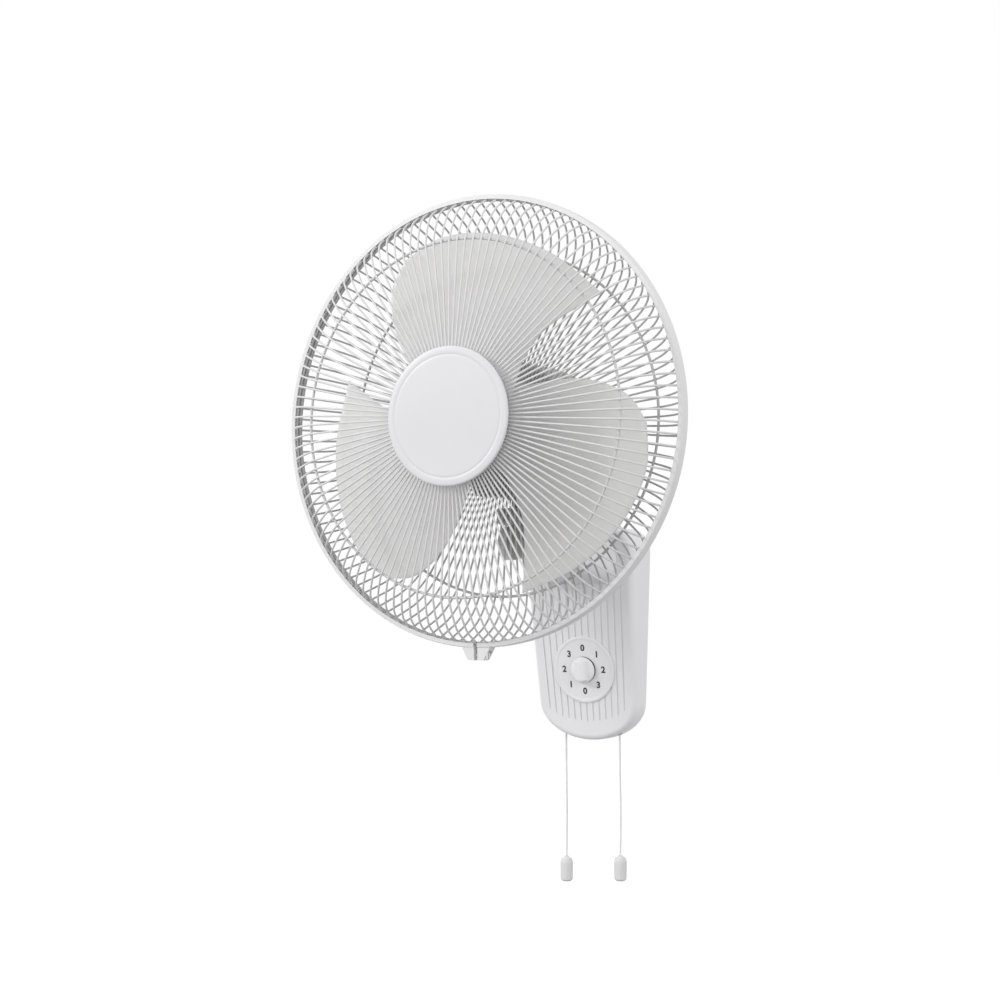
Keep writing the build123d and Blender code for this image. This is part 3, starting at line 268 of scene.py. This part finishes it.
def new_material(name):
    """A material, its node tree and its shader's inputs."""
    material = bpy.data.materials.new(name)
    material.use_nodes = True
    tree = material.node_tree
    return material, tree, tree.nodes["Principled BSDF"].inputs


def position(tree):
    """The place on the object, in metres."""
    return add(tree, "ShaderNodeTexCoord").outputs["Object"]


def mapped(tree, vector, **values):
    node = add(tree, "ShaderNodeMapping", **values)
    tree.links.new(vector, node.inputs["Vector"])
    return node.outputs["Vector"]


def pattern(tree, kind, vector, **values):
    """The height of a noise or wave texture."""
    node = add(tree, kind, **values)
    tree.links.new(vector, node.inputs["Vector"])
    return node.outputs["Fac"]


def colour_by(tree, shader, height, low, high, span=(0.0, 1.0)):
    """The colour goes from low to high between those two heights."""
    ramp = add(tree, "ShaderNodeValToRGB")
    for stop, at, colour in zip(ramp.color_ramp.elements, span, (low, high)):
        stop.position = at
        stop.color = (*colour, 1)
    tree.links.new(height, ramp.inputs["Fac"])
    tree.links.new(ramp.outputs["Color"], shader["Base Color"])


def roughness_by(tree, shader, height, low, high):
    span = add(tree, "ShaderNodeMapRange", To_Min=low, To_Max=high)
    tree.links.new(height, span.inputs["Value"])
    tree.links.new(span.outputs["Result"], shader["Roughness"])


def bump_by(tree, shader, height, strength, depth):
    """Raises the surface by a height; depth is in millimetres."""
    rise = add(tree, "ShaderNodeBump", Strength=strength, Distance=depth * MM)
    tree.links.new(height, rise.inputs["Height"])
    tree.links.new(rise.outputs["Normal"], shader["Normal"])


def scaled(colour, factor):
    return [min(1, part * factor) for part in colour]


# ---------------------------------------------------------------- materials
def moulded(name, colour, roughness, grain=2600.0, bump=0.05, shift=0.02):
    """Satin moulded plastic: faint flow in the colour, uneven gloss and a fine skin."""
    material, tree, shader = new_material(name)
    where = position(tree)
    flow = pattern(tree, "ShaderNodeTexNoise", where, Scale=14.0, Detail=3.0, Roughness=0.55)
    gloss = pattern(tree, "ShaderNodeTexNoise", where, Scale=60.0, Detail=4.0)
    skin = pattern(tree, "ShaderNodeTexNoise", where, Scale=grain, Detail=2.0)
    colour_by(tree, shader, flow, scaled(colour, 1 - shift), scaled(colour, 1 + shift), (0.3, 0.7))
    roughness_by(tree, shader, gloss, roughness - 0.05, roughness + 0.07)
    bump_by(tree, shader, skin, bump, 0.1)
    shader["Specular IOR Level"].default_value = 0.45
    return material


def coated(name, colour, roughness):
    """Powder coat on wire: a finer and deeper skin than moulded plastic, and an even colour."""
    return moulded(name, colour, roughness, grain=3500.0, bump=0.08, shift=0.015)


def translucent(name, colour, roughness):
    """Thin moulded plastic that lets a little light in."""
    material = moulded(name, colour, roughness, shift=0.015)
    shader = material.node_tree.nodes["Principled BSDF"].inputs
    shader["Subsurface Weight"].default_value = 0.1
    shader["Subsurface Radius"].default_value = (0.004, 0.004, 0.004)
    shader["Subsurface Scale"].default_value = 0.6
    return material


def metal(name, colour, roughness, streak):
    """Plated or cast metal: streaks or grain in colour and gloss, as fine as streak is large."""
    material, tree, shader = new_material(name)
    where = mapped(tree, position(tree), Scale=streak)
    grain = pattern(tree, "ShaderNodeTexNoise", where, Scale=1.0, Detail=5.0)
    colour_by(tree, shader, grain, scaled(colour, 0.94), scaled(colour, 1.06))
    roughness_by(tree, shader, grain, roughness - 0.08, roughness + 0.12)
    bump_by(tree, shader, grain, 0.15, 0.05)
    shader["Metallic"].default_value = 1.0
    return material


def layered(name, colour, gap, pitch):
    """A stack of sheets or a winding: fine lines across the head's axis."""
    material, tree, shader = new_material(name)
    lines = pattern(
        tree,
        "ShaderNodeTexWave",
        position(tree),
        Scale=pitch,
        Distortion=0.4,
        Detail=1.0,
        bands_direction="Y",
    )
    colour_by(tree, shader, lines, gap, colour)
    bump_by(tree, shader, lines, 0.5, 0.2)
    shader["Roughness"].default_value = 0.4
    shader["Metallic"].default_value = 0.85
    return material


def braided(name, colour, pitch):
    """A braided cord: strands that cross at a lean, in bump and a little in colour."""
    material, tree, shader = new_material(name)
    where = position(tree)
    strands = add(tree, "ShaderNodeMath", operation="MAXIMUM")
    for socket, lean in zip(strands.inputs, (0.6, -0.6)):
        leaning = mapped(tree, where, Rotation=(lean, lean, 0))
        wave = pattern(
            tree, "ShaderNodeTexWave", leaning, Scale=pitch, Distortion=0.6, bands_direction="Z"
        )
        tree.links.new(wave, socket)
    height = strands.outputs["Value"]
    colour_by(tree, shader, height, scaled(colour, 0.86), colour)
    bump_by(tree, shader, height, 0.6, 0.2)
    shader["Roughness"].default_value = 0.8
    return material


WHITE = moulded("satin_white_plastic", (0.82, 0.815, 0.84), 0.38)
# The cap: a darker copy of the white plastic, painted shade to offset the key light that falls full on it.
CAP_WHITE_SHADED = moulded("cap_white_painted_shade", (0.70, 0.695, 0.72), 0.40)
# The hoop: a darker copy of the white plastic, painted shade so that its lit edges don't burn out and it reads
# greyer.
HOOP_WHITE_SHADED = moulded("hoop_white_painted_shade", (0.75, 0.745, 0.75), 0.42)
PULL_WHITE = moulded("pull_white_plastic", (0.72, 0.715, 0.72), 0.45)
# The knob: a lighter copy of the white plastic, painted light for the brightly lit knob.
KNOB_WHITE_LIT = moulded("knob_white_painted_light", (0.89, 0.885, 0.90), 0.36)
# Mid grey for the motor covers, neck and bracket: partly a grey casing, partly painted shade for the dark space
# behind the blades.
CASING_GREY_AND_SHADE = moulded("casing_grey_and_painted_shade", (0.40, 0.395, 0.385), 0.45)
WIRE = coated("powder_coated_wire", (0.68, 0.675, 0.68), 0.40)
# The front guard's rings: a darker copy of the wire coat, painted shade so the rings read as darker dashes among
# the wires.
RING_SHADED = coated("front_ring_painted_shade", (0.59, 0.585, 0.59), 0.40)
# The rear guard's wires and rings: a darker copy of the wire coat, painted shade so that the rear cage reads grey
# behind the front one.
REAR_WIRE_SHADED = coated("rear_wire_painted_shade", (0.56, 0.555, 0.555), 0.45)
BLADE = translucent("blade_plastic", (0.74, 0.735, 0.73), 0.40)
ZINC = metal("zinc_plated_steel", (0.62, 0.62, 0.64), 0.35, (400, 400, 18))
LAMINATION = layered("stacked_laminations", (0.42, 0.42, 0.44), (0.16, 0.16, 0.17), 900.0)
CAST = metal("cast_aluminium", (0.55, 0.56, 0.58), 0.5, (900, 900, 900))
COPPER = layered("enamelled_windings", (0.62, 0.26, 0.10), (0.25, 0.09, 0.04), 700.0)
BUSH = moulded("grey_bush", (0.45, 0.45, 0.46), 0.6)
DARK = moulded("dark_switch_plastic", (0.045, 0.045, 0.05), 0.45, shift=0.1)
CORD = braided("braided_cord", (0.88, 0.88, 0.89), 900.0)
# Near-black, for the ring under the knob: painted shadow in the gap between knob and dial.
SHADOW_DARK = moulded("painted_shadow_gap", (0.12, 0.12, 0.125), 0.8, shift=0.1)
INK = moulded("printed_numbers", (0.02, 0.02, 0.024), 0.6, shift=0.1)

BY_SLOT = {
    "housing_white": WHITE,
    "blade_grey": BLADE,
    "wire_white": WIRE,
    "zinc_steel": ZINC,
    "motor_steel": LAMINATION,
    "end_bell_metal": CAST,
    "winding_copper": COPPER,
    "bush_grey": BUSH,
    "switch_dark": DARK,
    "cord_white": CORD,
}
# Nodes that look unlike the others of their slot: the motor covers, neck block and bracket in a mid grey that is
# partly painted shade for the dark space between the blades, and the hoop in a darker copy of the white, painted
# shade.
BY_NODE = {
    "motor_front_cover": CASING_GREY_AND_SHADE,
    "motor_rear_cover": CASING_GREY_AND_SHADE,
    "neck_block": CASING_GREY_AND_SHADE,
    "motor_bracket": CASING_GREY_AND_SHADE,
    "guard_hoop": HOOP_WHITE_SHADED,
}
for part in frame["record"]["subparts"]:
    for node_slot in nodes[part["node"]].material_slots:
        node_slot.material = BY_NODE.get(part["node"], BY_SLOT[part["material_slot"]])

# ---------------------------------------------------------------- camera, in metres
# Fitted to the outlines of the hoop and the cap in the photograph.
CAMERA_AZIMUTH = 29.978
CAMERA_ELEVATION = -2.693
CAMERA_PLACE = (0.91360, -1.79255, 0.04620)
FOCAL_PIXELS = 1868.02
PHOTO_PIXELS = 1000
SENSOR = 36.0


def aim(obj, where, direction):
    """Puts a camera or lamp in a place, looking in a direction."""
    obj.location = where
    obj.rotation_mode = "QUATERNION"
    obj.rotation_quaternion = direction.to_track_quat("-Z", "Y")


def make_camera():
    azimuth, elevation = math.radians(CAMERA_AZIMUTH), math.radians(CAMERA_ELEVATION)
    level = math.cos(elevation)
    look = Vector((-math.sin(azimuth) * level, math.cos(azimuth) * level, -math.sin(elevation)))
    lens = bpy.data.cameras.new("camera")
    lens.sensor_width = SENSOR
    lens.lens = FOCAL_PIXELS / PHOTO_PIXELS * SENSOR
    lens.clip_start = 0.05
    lens.clip_end = 50
    camera = add_object("camera", lens)
    aim(camera, CAMERA_PLACE, look)
    scene.camera = camera


make_camera()

# ---------------------------------------------------------------- cords and their pulls
CORD_X, CORD_Y = 32.0, -11.0
SLIDER_FLOOR, BOW = -83.755, 0.8
CORD_RADIUS = 1.0
PULL_TOPS = {1: -235.0, -1: -240.0}  # the right cord and the left one
# A pull's section as (radius, height over its top), with the radius of each corner.
PULL_OUTLINE = [
    (0, 0), (2.2, 0), (2.6, -1.2), (5.6, -2.4), (6.8, -6.6), (6.5, -25.0), (4.4, -27.0), (0, -27.0),
]
PULL_CORNERS = [0, 0.5, 0.8, 2.4, 2.0, 1.2, 1.6, 0]
PULL_SIDES = 96
RIBS, RIB_DEPTH = 16, 0.45
RIBS_FROM, RIBS_TO = -9.0, -26.0
RIB_FADE_IN, RIB_FADE_OUT = 2.0, 1.5


def cord_route(side):
    """The points of a cord, from its slider to its pull. side is 1 on the right, -1 on the left."""
    x = side * CORD_X
    return [
        (x, CORD_Y, SLIDER_FLOOR),
        (x + 0.02, CORD_Y, SLIDER_FLOOR - 38),
        (x + BOW, CORD_Y - 0.3, SLIDER_FLOOR - 80),
        (x + BOW * 1.1, CORD_Y + 0.4, SLIDER_FLOOR - 122),
        (x + BOW * 0.4, CORD_Y + 0.1, PULL_TOPS[side] + 0.05),
    ]


def pull_shape(top):
    """A moulded pull: a small neck, a domed shoulder and a ribbed body with a rounded foot."""

    def point(radius, z, share):
        a = FULL_TURN * share
        fade_in = max(0.0, min(1.0, (RIBS_FROM - z) / RIB_FADE_IN))
        fade_out = max(0.0, min(1.0, (z - RIBS_TO) / RIB_FADE_OUT))
        groove = (0.5 - 0.5 * math.cos(RIBS * a)) ** 2
        r = radius - fade_in * fade_out * RIB_DEPTH * groove
        return (top[0] + r * math.sin(a), top[1] + r * math.cos(a), top[2] + z)

    return turned(soften(PULL_OUTLINE, PULL_CORNERS), PULL_SIDES, point)


def cord_curve(name, route):
    curve = bpy.data.curves.new(name, "CURVE")
    curve.dimensions = "3D"
    curve.bevel_depth = CORD_RADIUS * MM
    curve.bevel_resolution = 4
    curve.use_fill_caps = True
    line = curve.splines.new("NURBS")
    line.points.add(len(route) - 1)
    for point, where in zip(line.points, route):
        point.co = (*in_metres(where), 1)
    line.order_u = 3
    line.use_endpoint_u = True
    line.resolution_u = 12
    curve.materials.append(CORD)
    return add_object(name, curve)


for side, name, body in ((1, "speed", "speed_cord_pull"), (-1, "oscillation", "swing_cord_pull")):
    route = cord_route(side)
    shape = pull_shape((route[-1][0], route[-1][1], PULL_TOPS[side]))
    pull = make(name + "_pull_knob", shape, PULL_WHITE, body, name + "_pull")
    cord = cord_curve(name + "_cord_line", route)
    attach(cord, body)
    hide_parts(name + "_cord")

# ---------------------------------------------------------------- guard cage
# A wire's line as (radius, ahead): nearly straight from the middle, then round the edge to the hoop.
FRONT_LINE = [
    (59.5, 49.5), (100, 45.95), (145, 42.01), (165, 40.26), (170.3, 39.8),
    (176, 37.6), (189.05, 30.72), (201.05, 22.22), (207.55, 13.72), (213.05, 3.72),
]
REAR_LINE = [
    (46, -57), (100, -52.89), (145, -49.46), (164, -48.02), (169.5, -47.6),
    (175, -45.7), (187.05, -39.72), (199.55, -27.72), (207.05, -14.72), (213.05, -3.72),
]
WIRES, WIRE_RADIUS, WIRE_SIDES, WIRE_STEPS = 120, 1.0, 8, 5
# Rings as (radius, ahead, thickness): at the hoop, where the wires bend, and under the cap.
FRONT_RINGS = [(213.7, 2.6, 3.0), (170.3, 37.7, 2.6), (61.5, 47.2, 2.6)]
REAR_RINGS = [(213.7, -2.6, 3.0), (169.5, -45.5, 2.6)]
RING_SIDES, RING_SPANS = 12, 192


def cage(line):
    """All wires of one guard: one tube along the line, turned about the head's axis."""
    path = [place(radius, ahead, 0) for radius, ahead in spline(line, WIRE_STEPS)]
    verts, faces = tube(path, WIRE_RADIUS, WIRE_SIDES)
    x, y, z = (np.array(verts) - np.array(HEAD)).T
    wires = []
    for k in range(WIRES):
        a = FULL_TURN * k / WIRES
        c, s = math.cos(a), math.sin(a)
        around = np.column_stack([x * c + z * s, y, z * c - x * s]) + np.array(HEAD)
        wires.append((list(around), faces))
    return join(wires)


def wire_ring(radius, ahead, thickness):
    section = [
        (radius + thickness / 2 * math.cos(a), ahead + thickness / 2 * math.sin(a))
        for a in np.linspace(0, FULL_TURN, RING_SIDES, endpoint=False)
    ]
    return lathe(section, RING_SPANS)


def wire_rings(rings):
    return join([wire_ring(*sizes) for sizes in rings])


for name, shape, material, node_name in (
    ("front_wires", cage(FRONT_LINE), WIRE, "front_guard_wires"),
    ("rear_wires", cage(REAR_LINE), REAR_WIRE_SHADED, "rear_guard_wires"),
    ("front_rings", wire_rings(FRONT_RINGS), RING_SHADED, "front_guard_rings"),
    ("rear_rings", wire_rings(REAR_RINGS), REAR_WIRE_SHADED, "rear_guard_rings"),
):
    make(name, shape, material, "head", node_name, ROUND)

# ---------------------------------------------------------------- cap
CAP_RADIUS, CAP_FACE, CAP_FOOT = 66.0, 60.2, 48.6
CAP_CROWN = 0.7  # how far the face falls back at a radius of 60
GROOVE_RADIUS = 58.0
CAP_HUB, CAP_NECK, CAP_NECK_FOOT, CAP_WALL = 14.0, 60.6, 50.6, 2.0
CAP_SIDES = 192


def cap_profile():
    """The cap's section as (radius, ahead): a thin disc with an undercut edge, on a short neck."""
    face = [
        (radius, CAP_FACE - CAP_CROWN * (radius / 60) ** 2)
        for radius in (0, 12, 24, 36, 46, 54, 56.4)
    ]
    # (across, down) from the middle of the groove, then from the rim, both at the face's level
    groove = [(-1, 0.7), (-0.5, 0.95), (0, 1.05), (0.5, 0.95), (1, 0.72)]
    edge = [(-5, 0.75), (-2.4, 0.9), (-1.2, 1.15), (-0.4, 1.6), (0, 2.3), (0, 3.0), (-0.4, 3.5)]
    undercut = [(-1.4, 3.8), (-4.6, 4.2), (-5, 4.8)]
    inside = CAP_NECK - CAP_WALL
    neck = [(CAP_NECK, CAP_NECK_FOOT), (inside, CAP_NECK_FOOT), (inside - 0.2, CAP_NECK_FOOT + 4)]
    back = [(CAP_HUB + 4, CAP_FACE - 4.4), (CAP_HUB, CAP_FACE - 4.6), (CAP_HUB, CAP_FOOT)]
    profile = [(0, CAP_FOOT)] + face
    profile += [(GROOVE_RADIUS + across, CAP_FACE - down) for across, down in groove]
    profile += [(CAP_RADIUS + across, CAP_FACE - down) for across, down in edge + undercut]
    return profile + neck + back


make("cap_disc", lathe(cap_profile(), CAP_SIDES), CAP_WHITE_SHADED, "head", "guard_cap")

# ---------------------------------------------------------------- impeller
BLADES = 3
BLADE_THICKNESS, BLADE_EDGE = 1.8, 0.6
# A blade's outline as (radius, degrees), in three stretches from the hub round to the hub.
TRAIL = [(29, -58), (66, -56), (126, -45), (164, -35.5), (181, -27)]
TIP = [(181, -27), (186, -14), (182, 3), (174.5, 24), (170.5, 47)]
LEAD = [(29, 56), (46, 43), (70, 36.2), (104, 37), (143, 43.2), (170.5, 47)]
# The blade's twist: how far ahead it lies at two angles, and how it bends between them.
LEAD_ANGLE, LEAD_AHEAD = 58.0, -23.0
TRAIL_ANGLE, TRAIL_AHEAD = -66.0, 14.0
CAMBER = 0.82
SPANS_ACROSS, SPANS_OUT, OUTLINE_STEPS = 30, 34, 12
# The hub's section as (radius, ahead), with the radius of each corner.
HUB_OUTLINE = [(4.05, 20), (33, 20), (33, -34), (30.5, -34), (30.5, 14), (11, 14), (9, -24), (4.05, -24)]
HUB_CORNERS = [0.4, 4.5, 0.8, 0.6, 2, 1, 0.8, 0.4]
HUB_SIDES = 96


def flat(points):
    """(radius, degrees) points in the plane that the head's axis stands on."""
    return [(r * math.sin(math.radians(a)), r * math.cos(math.radians(a))) for r, a in points]


def blade_sheet(turn):
    """One blade as a sheet between its four edges, twisted ahead by its angle."""
    trail = even(spline(flat(TRAIL), OUTLINE_STEPS), SPANS_OUT)
    lead = even(spline(flat(LEAD), OUTLINE_STEPS), SPANS_OUT)
    tip = even(spline(flat(TIP), OUTLINE_STEPS), SPANS_ACROSS)
    (root_radius, first_angle), (_, last_angle) = TRAIL[0], LEAD[0]
    root_angles = np.linspace(first_angle, last_angle, SPANS_ACROSS + 1)
    root = np.array(flat([(root_radius, angle) for angle in root_angles]))
    verts = []
    for i in range(SPANS_OUT + 1):
        u = i / SPANS_OUT
        for j in range(SPANS_ACROSS + 1):
            v = j / SPANS_ACROSS
            between_sides = (1 - v) * trail[i] + v * lead[i]
            between_ends = (1 - u) * root[j] + u * tip[j]
            root_line = (1 - v) * root[0] + v * root[-1]
            tip_line = (1 - v) * tip[0] + v * tip[-1]
            x, z = between_sides + between_ends - (1 - u) * root_line - u * tip_line
            angle = math.degrees(math.atan2(x, z))
            share = (LEAD_ANGLE - angle) / (LEAD_ANGLE - TRAIL_ANGLE)
            ahead = LEAD_AHEAD + (TRAIL_AHEAD - LEAD_AHEAD) * max(share, 0) ** CAMBER
            verts.append(place(math.hypot(x, z), ahead, angle + turn))
    wide = SPANS_ACROSS + 1
    faces = [
        (i * wide + j, i * wide + j + 1, (i + 1) * wide + j + 1, (i + 1) * wide + j)
        for i in range(SPANS_OUT)
        for j in range(SPANS_ACROSS)
    ]
    return verts, faces


def thicken(piece, thickness, edge):
    """Gives a sheet its thickness, with the edges eased."""
    wall = piece.modifiers.new("thickness", "SOLIDIFY")
    wall.thickness = thickness * MM
    wall.offset = 0
    ease = piece.modifiers.new("edges", "BEVEL")
    ease.width = edge * MM
    ease.segments = 2
    ease.limit_method = "ANGLE"
    ease.angle_limit = math.radians(50)
    ease.harden_normals = False


all_blades = join([blade_sheet(360 / BLADES * k) for k in range(BLADES)])
blades = make("fan_blades", all_blades, BLADE, "fan", "impeller", ROUND)
thicken(blades, BLADE_THICKNESS, BLADE_EDGE)
hub = lathe(soften(HUB_OUTLINE, HUB_CORNERS), HUB_SIDES)
make("fan_hub", hub, BLADE, "fan", "impeller")

# ---------------------------------------------------------------- knob and dial
# The knob's skirt, a thin near-black ring under it that is painted shadow for the gap between knob and dial, and
# the dial's rim, as (radius, out).
SKIRT = [
    (11.3, 1.5), (11.3, 3.2), (13.2, 3.2), (13.6, 3.4), (13.8, 3.8), (13.75, 4.5),
    (13.3, 5.2), (12.2, 5.95), (10.0, 7.05), (7.5, 8.15), (4.0, 9.0), (1.0, 9.3),
]
SHADOW_RING = [(11.4, 1.42), (13.9, 1.42), (13.9, 1.62), (11.4, 1.62)]
RIM = [
    (31.4, 0.8), (31.4, 1.42), (31.8, 1.5), (32.4, 1.78), (33.0, 1.9),
    (34.2, 1.9), (35.0, 1.72), (35.55, 1.3), (35.6, 0.8),
]
# The grip over the skirt as (half width, half length, out), from the foot up.
GRIP = [
    (7.3, 12.8, 5.6), (6.8, 12.3, 7.4), (6.3, 11.9, 8.8), (5.9, 11.6, 10.2),
    (5.5, 11.2, 10.9), (4.7, 10.5, 11.3), (2.0, 8.0, 11.45),
]
KNOB_SIDES, RIM_SIDES = 96, 160


def face_ring(radius, out, count=KNOB_SIDES):
    """A circle round the dial's middle."""
    angles = [FULL_TURN * k / count for k in range(count)]
    return [on_face(radius * math.sin(a), radius * math.cos(a), out) for a in angles]


def grip_ring(half_width, half_length, out):
    """A circle pressed in from its two sides, to straight flanks with rounded corners."""
    hold, ease, draw_in = 1.35, 0.9, 0.03
    points = []
    for k in range(KNOB_SIDES):
        a = FULL_TURN * k / KNOB_SIDES
        wide = half_length * math.sin(a) / half_width
        pressed = math.tanh(hold * wide**3 + ease * wide)
        up = half_length * math.cos(a) * (1 - draw_in * abs(pressed))
        points.append(on_face(half_width * pressed, up, out))
    return points


knob = join([
    loft([face_ring(radius, out) for radius, out in SKIRT]),
    loft([grip_ring(*sizes) for sizes in GRIP]),
])
make("dial_knob", knob, KNOB_WHITE_LIT, "knob", "speed_knob")
# A thin dark ring under the knob's skirt: painted shadow, not a part of the fan.
shadow_ring = loft([face_ring(radius, out) for radius, out in SHADOW_RING])
make("knob_painted_shadow_ring", shadow_ring, SHADOW_DARK, "knob")
rim = loft([face_ring(radius, out, RIM_SIDES) for radius, out in RIM], cap=False)
make("dial_rim", rim, WHITE, "base")

# ---------------------------------------------------------------- numbers on the dial
DIGITS = "01230123"  # clockwise from the top
DIGIT_CIRCLE, DIGIT_OUT = 23.0, 1.48
DIGIT_SIZE, DIGIT_RISE, DIGIT_WEIGHT = 9.2, 0.12, 0.32

for number, digit in enumerate(DIGITS):
    angle = FULL_TURN * number / len(DIGITS)
    text = bpy.data.curves.new("dial_%d" % number, "FONT")
    text.body = digit
    text.size = DIGIT_SIZE * MM
    text.extrude = DIGIT_RISE * MM
    text.offset = DIGIT_WEIGHT * MM
    text.align_x = "CENTER"
    text.align_y = "CENTER"
    text.materials.append(INK)
    mark = add_object("dial_%d" % number, text)
    across, up = DIGIT_CIRCLE * math.sin(angle), DIGIT_CIRCLE * math.cos(angle)
    mark.location = in_metres(on_face(across, up, DIGIT_OUT))
    mark.rotation_euler = (math.pi / 2 + SLOPE, 0, 0)
    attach(mark, "base")

# ---------------------------------------------------------------- floor, world and lamps, in metres
FLOOR_REACH, FLOOR_LEVEL = 6.0, -0.75
FLOOR_GREY, FLOOR_GLOW = 0.3, 0.80
WORLD_LIGHT, WORLD_SEEN = 0.83, 1.0


def seen_rays(tree):
    """1 for a ray that shows the background: from the camera, off gloss or through glass."""
    path = add(tree, "ShaderNodeLightPath")
    seen = path.outputs["Is Camera Ray"]
    for kind in ("Is Glossy Ray", "Is Transmission Ray"):
        either = add(tree, "ShaderNodeMath", operation="MAXIMUM")
        tree.links.new(seen, either.inputs[0])
        tree.links.new(path.outputs[kind], either.inputs[1])
        seen = either.outputs["Value"]
    return seen


def make_floor():
    paper, tree, shader = new_material("pale_floor")
    shader["Base Color"].default_value = (FLOOR_GREY, FLOOR_GREY, FLOOR_GREY, 1)
    shader["Roughness"].default_value = 0.9
    shader["Emission Color"].default_value = (1, 1, 1, 1)
    glow = add(tree, "ShaderNodeMath", operation="MULTIPLY")
    glow.inputs[1].default_value = FLOOR_GLOW
    tree.links.new(seen_rays(tree), glow.inputs[0])
    tree.links.new(glow.outputs["Value"], shader["Emission Strength"])
    mesh = bpy.data.meshes.new("floor")
    corners = [
        (x * FLOOR_REACH, y * FLOOR_REACH, FLOOR_LEVEL)
        for x, y in ((-1, -1), (1, -1), (1, 1), (-1, 1))
    ]
    mesh.from_pydata(corners, [], [(0, 1, 2, 3)])
    mesh.materials.append(paper)
    add_object("floor", mesh)


def make_world():
    world = bpy.data.worlds.new("studio")
    world.use_nodes = True
    scene.world = world
    tree = world.node_tree
    background = tree.nodes["Background"].inputs
    background["Color"].default_value = (1, 1, 1, 1)
    level = add(tree, "ShaderNodeMapRange", To_Min=WORLD_LIGHT, To_Max=WORLD_SEEN)
    tree.links.new(seen_rays(tree), level.inputs["Value"])
    tree.links.new(level.outputs["Result"], background["Strength"])


def make_lamp(name, where, towards, size, power):
    light = bpy.data.lights.new(name, "AREA")
    light.shape = "DISK"
    light.size = size
    light.energy = power
    aim(add_object(name, light), where, Vector(towards) - Vector(where))


make_floor()
make_world()
make_lamp("key", where=(-1.9, -1.9, 1.3), towards=(0, -0.15, 0.1), size=0.6, power=30)
make_lamp("front", where=(-0.5, -2.5, -0.15), towards=(0, -0.15, 0.0), size=1.4, power=6)
make_lamp("fill", where=(2.0, -1.2, 0.6), towards=(0, -0.15, 0.1), size=1.8, power=12)

scene.view_settings.view_transform = "Standard"
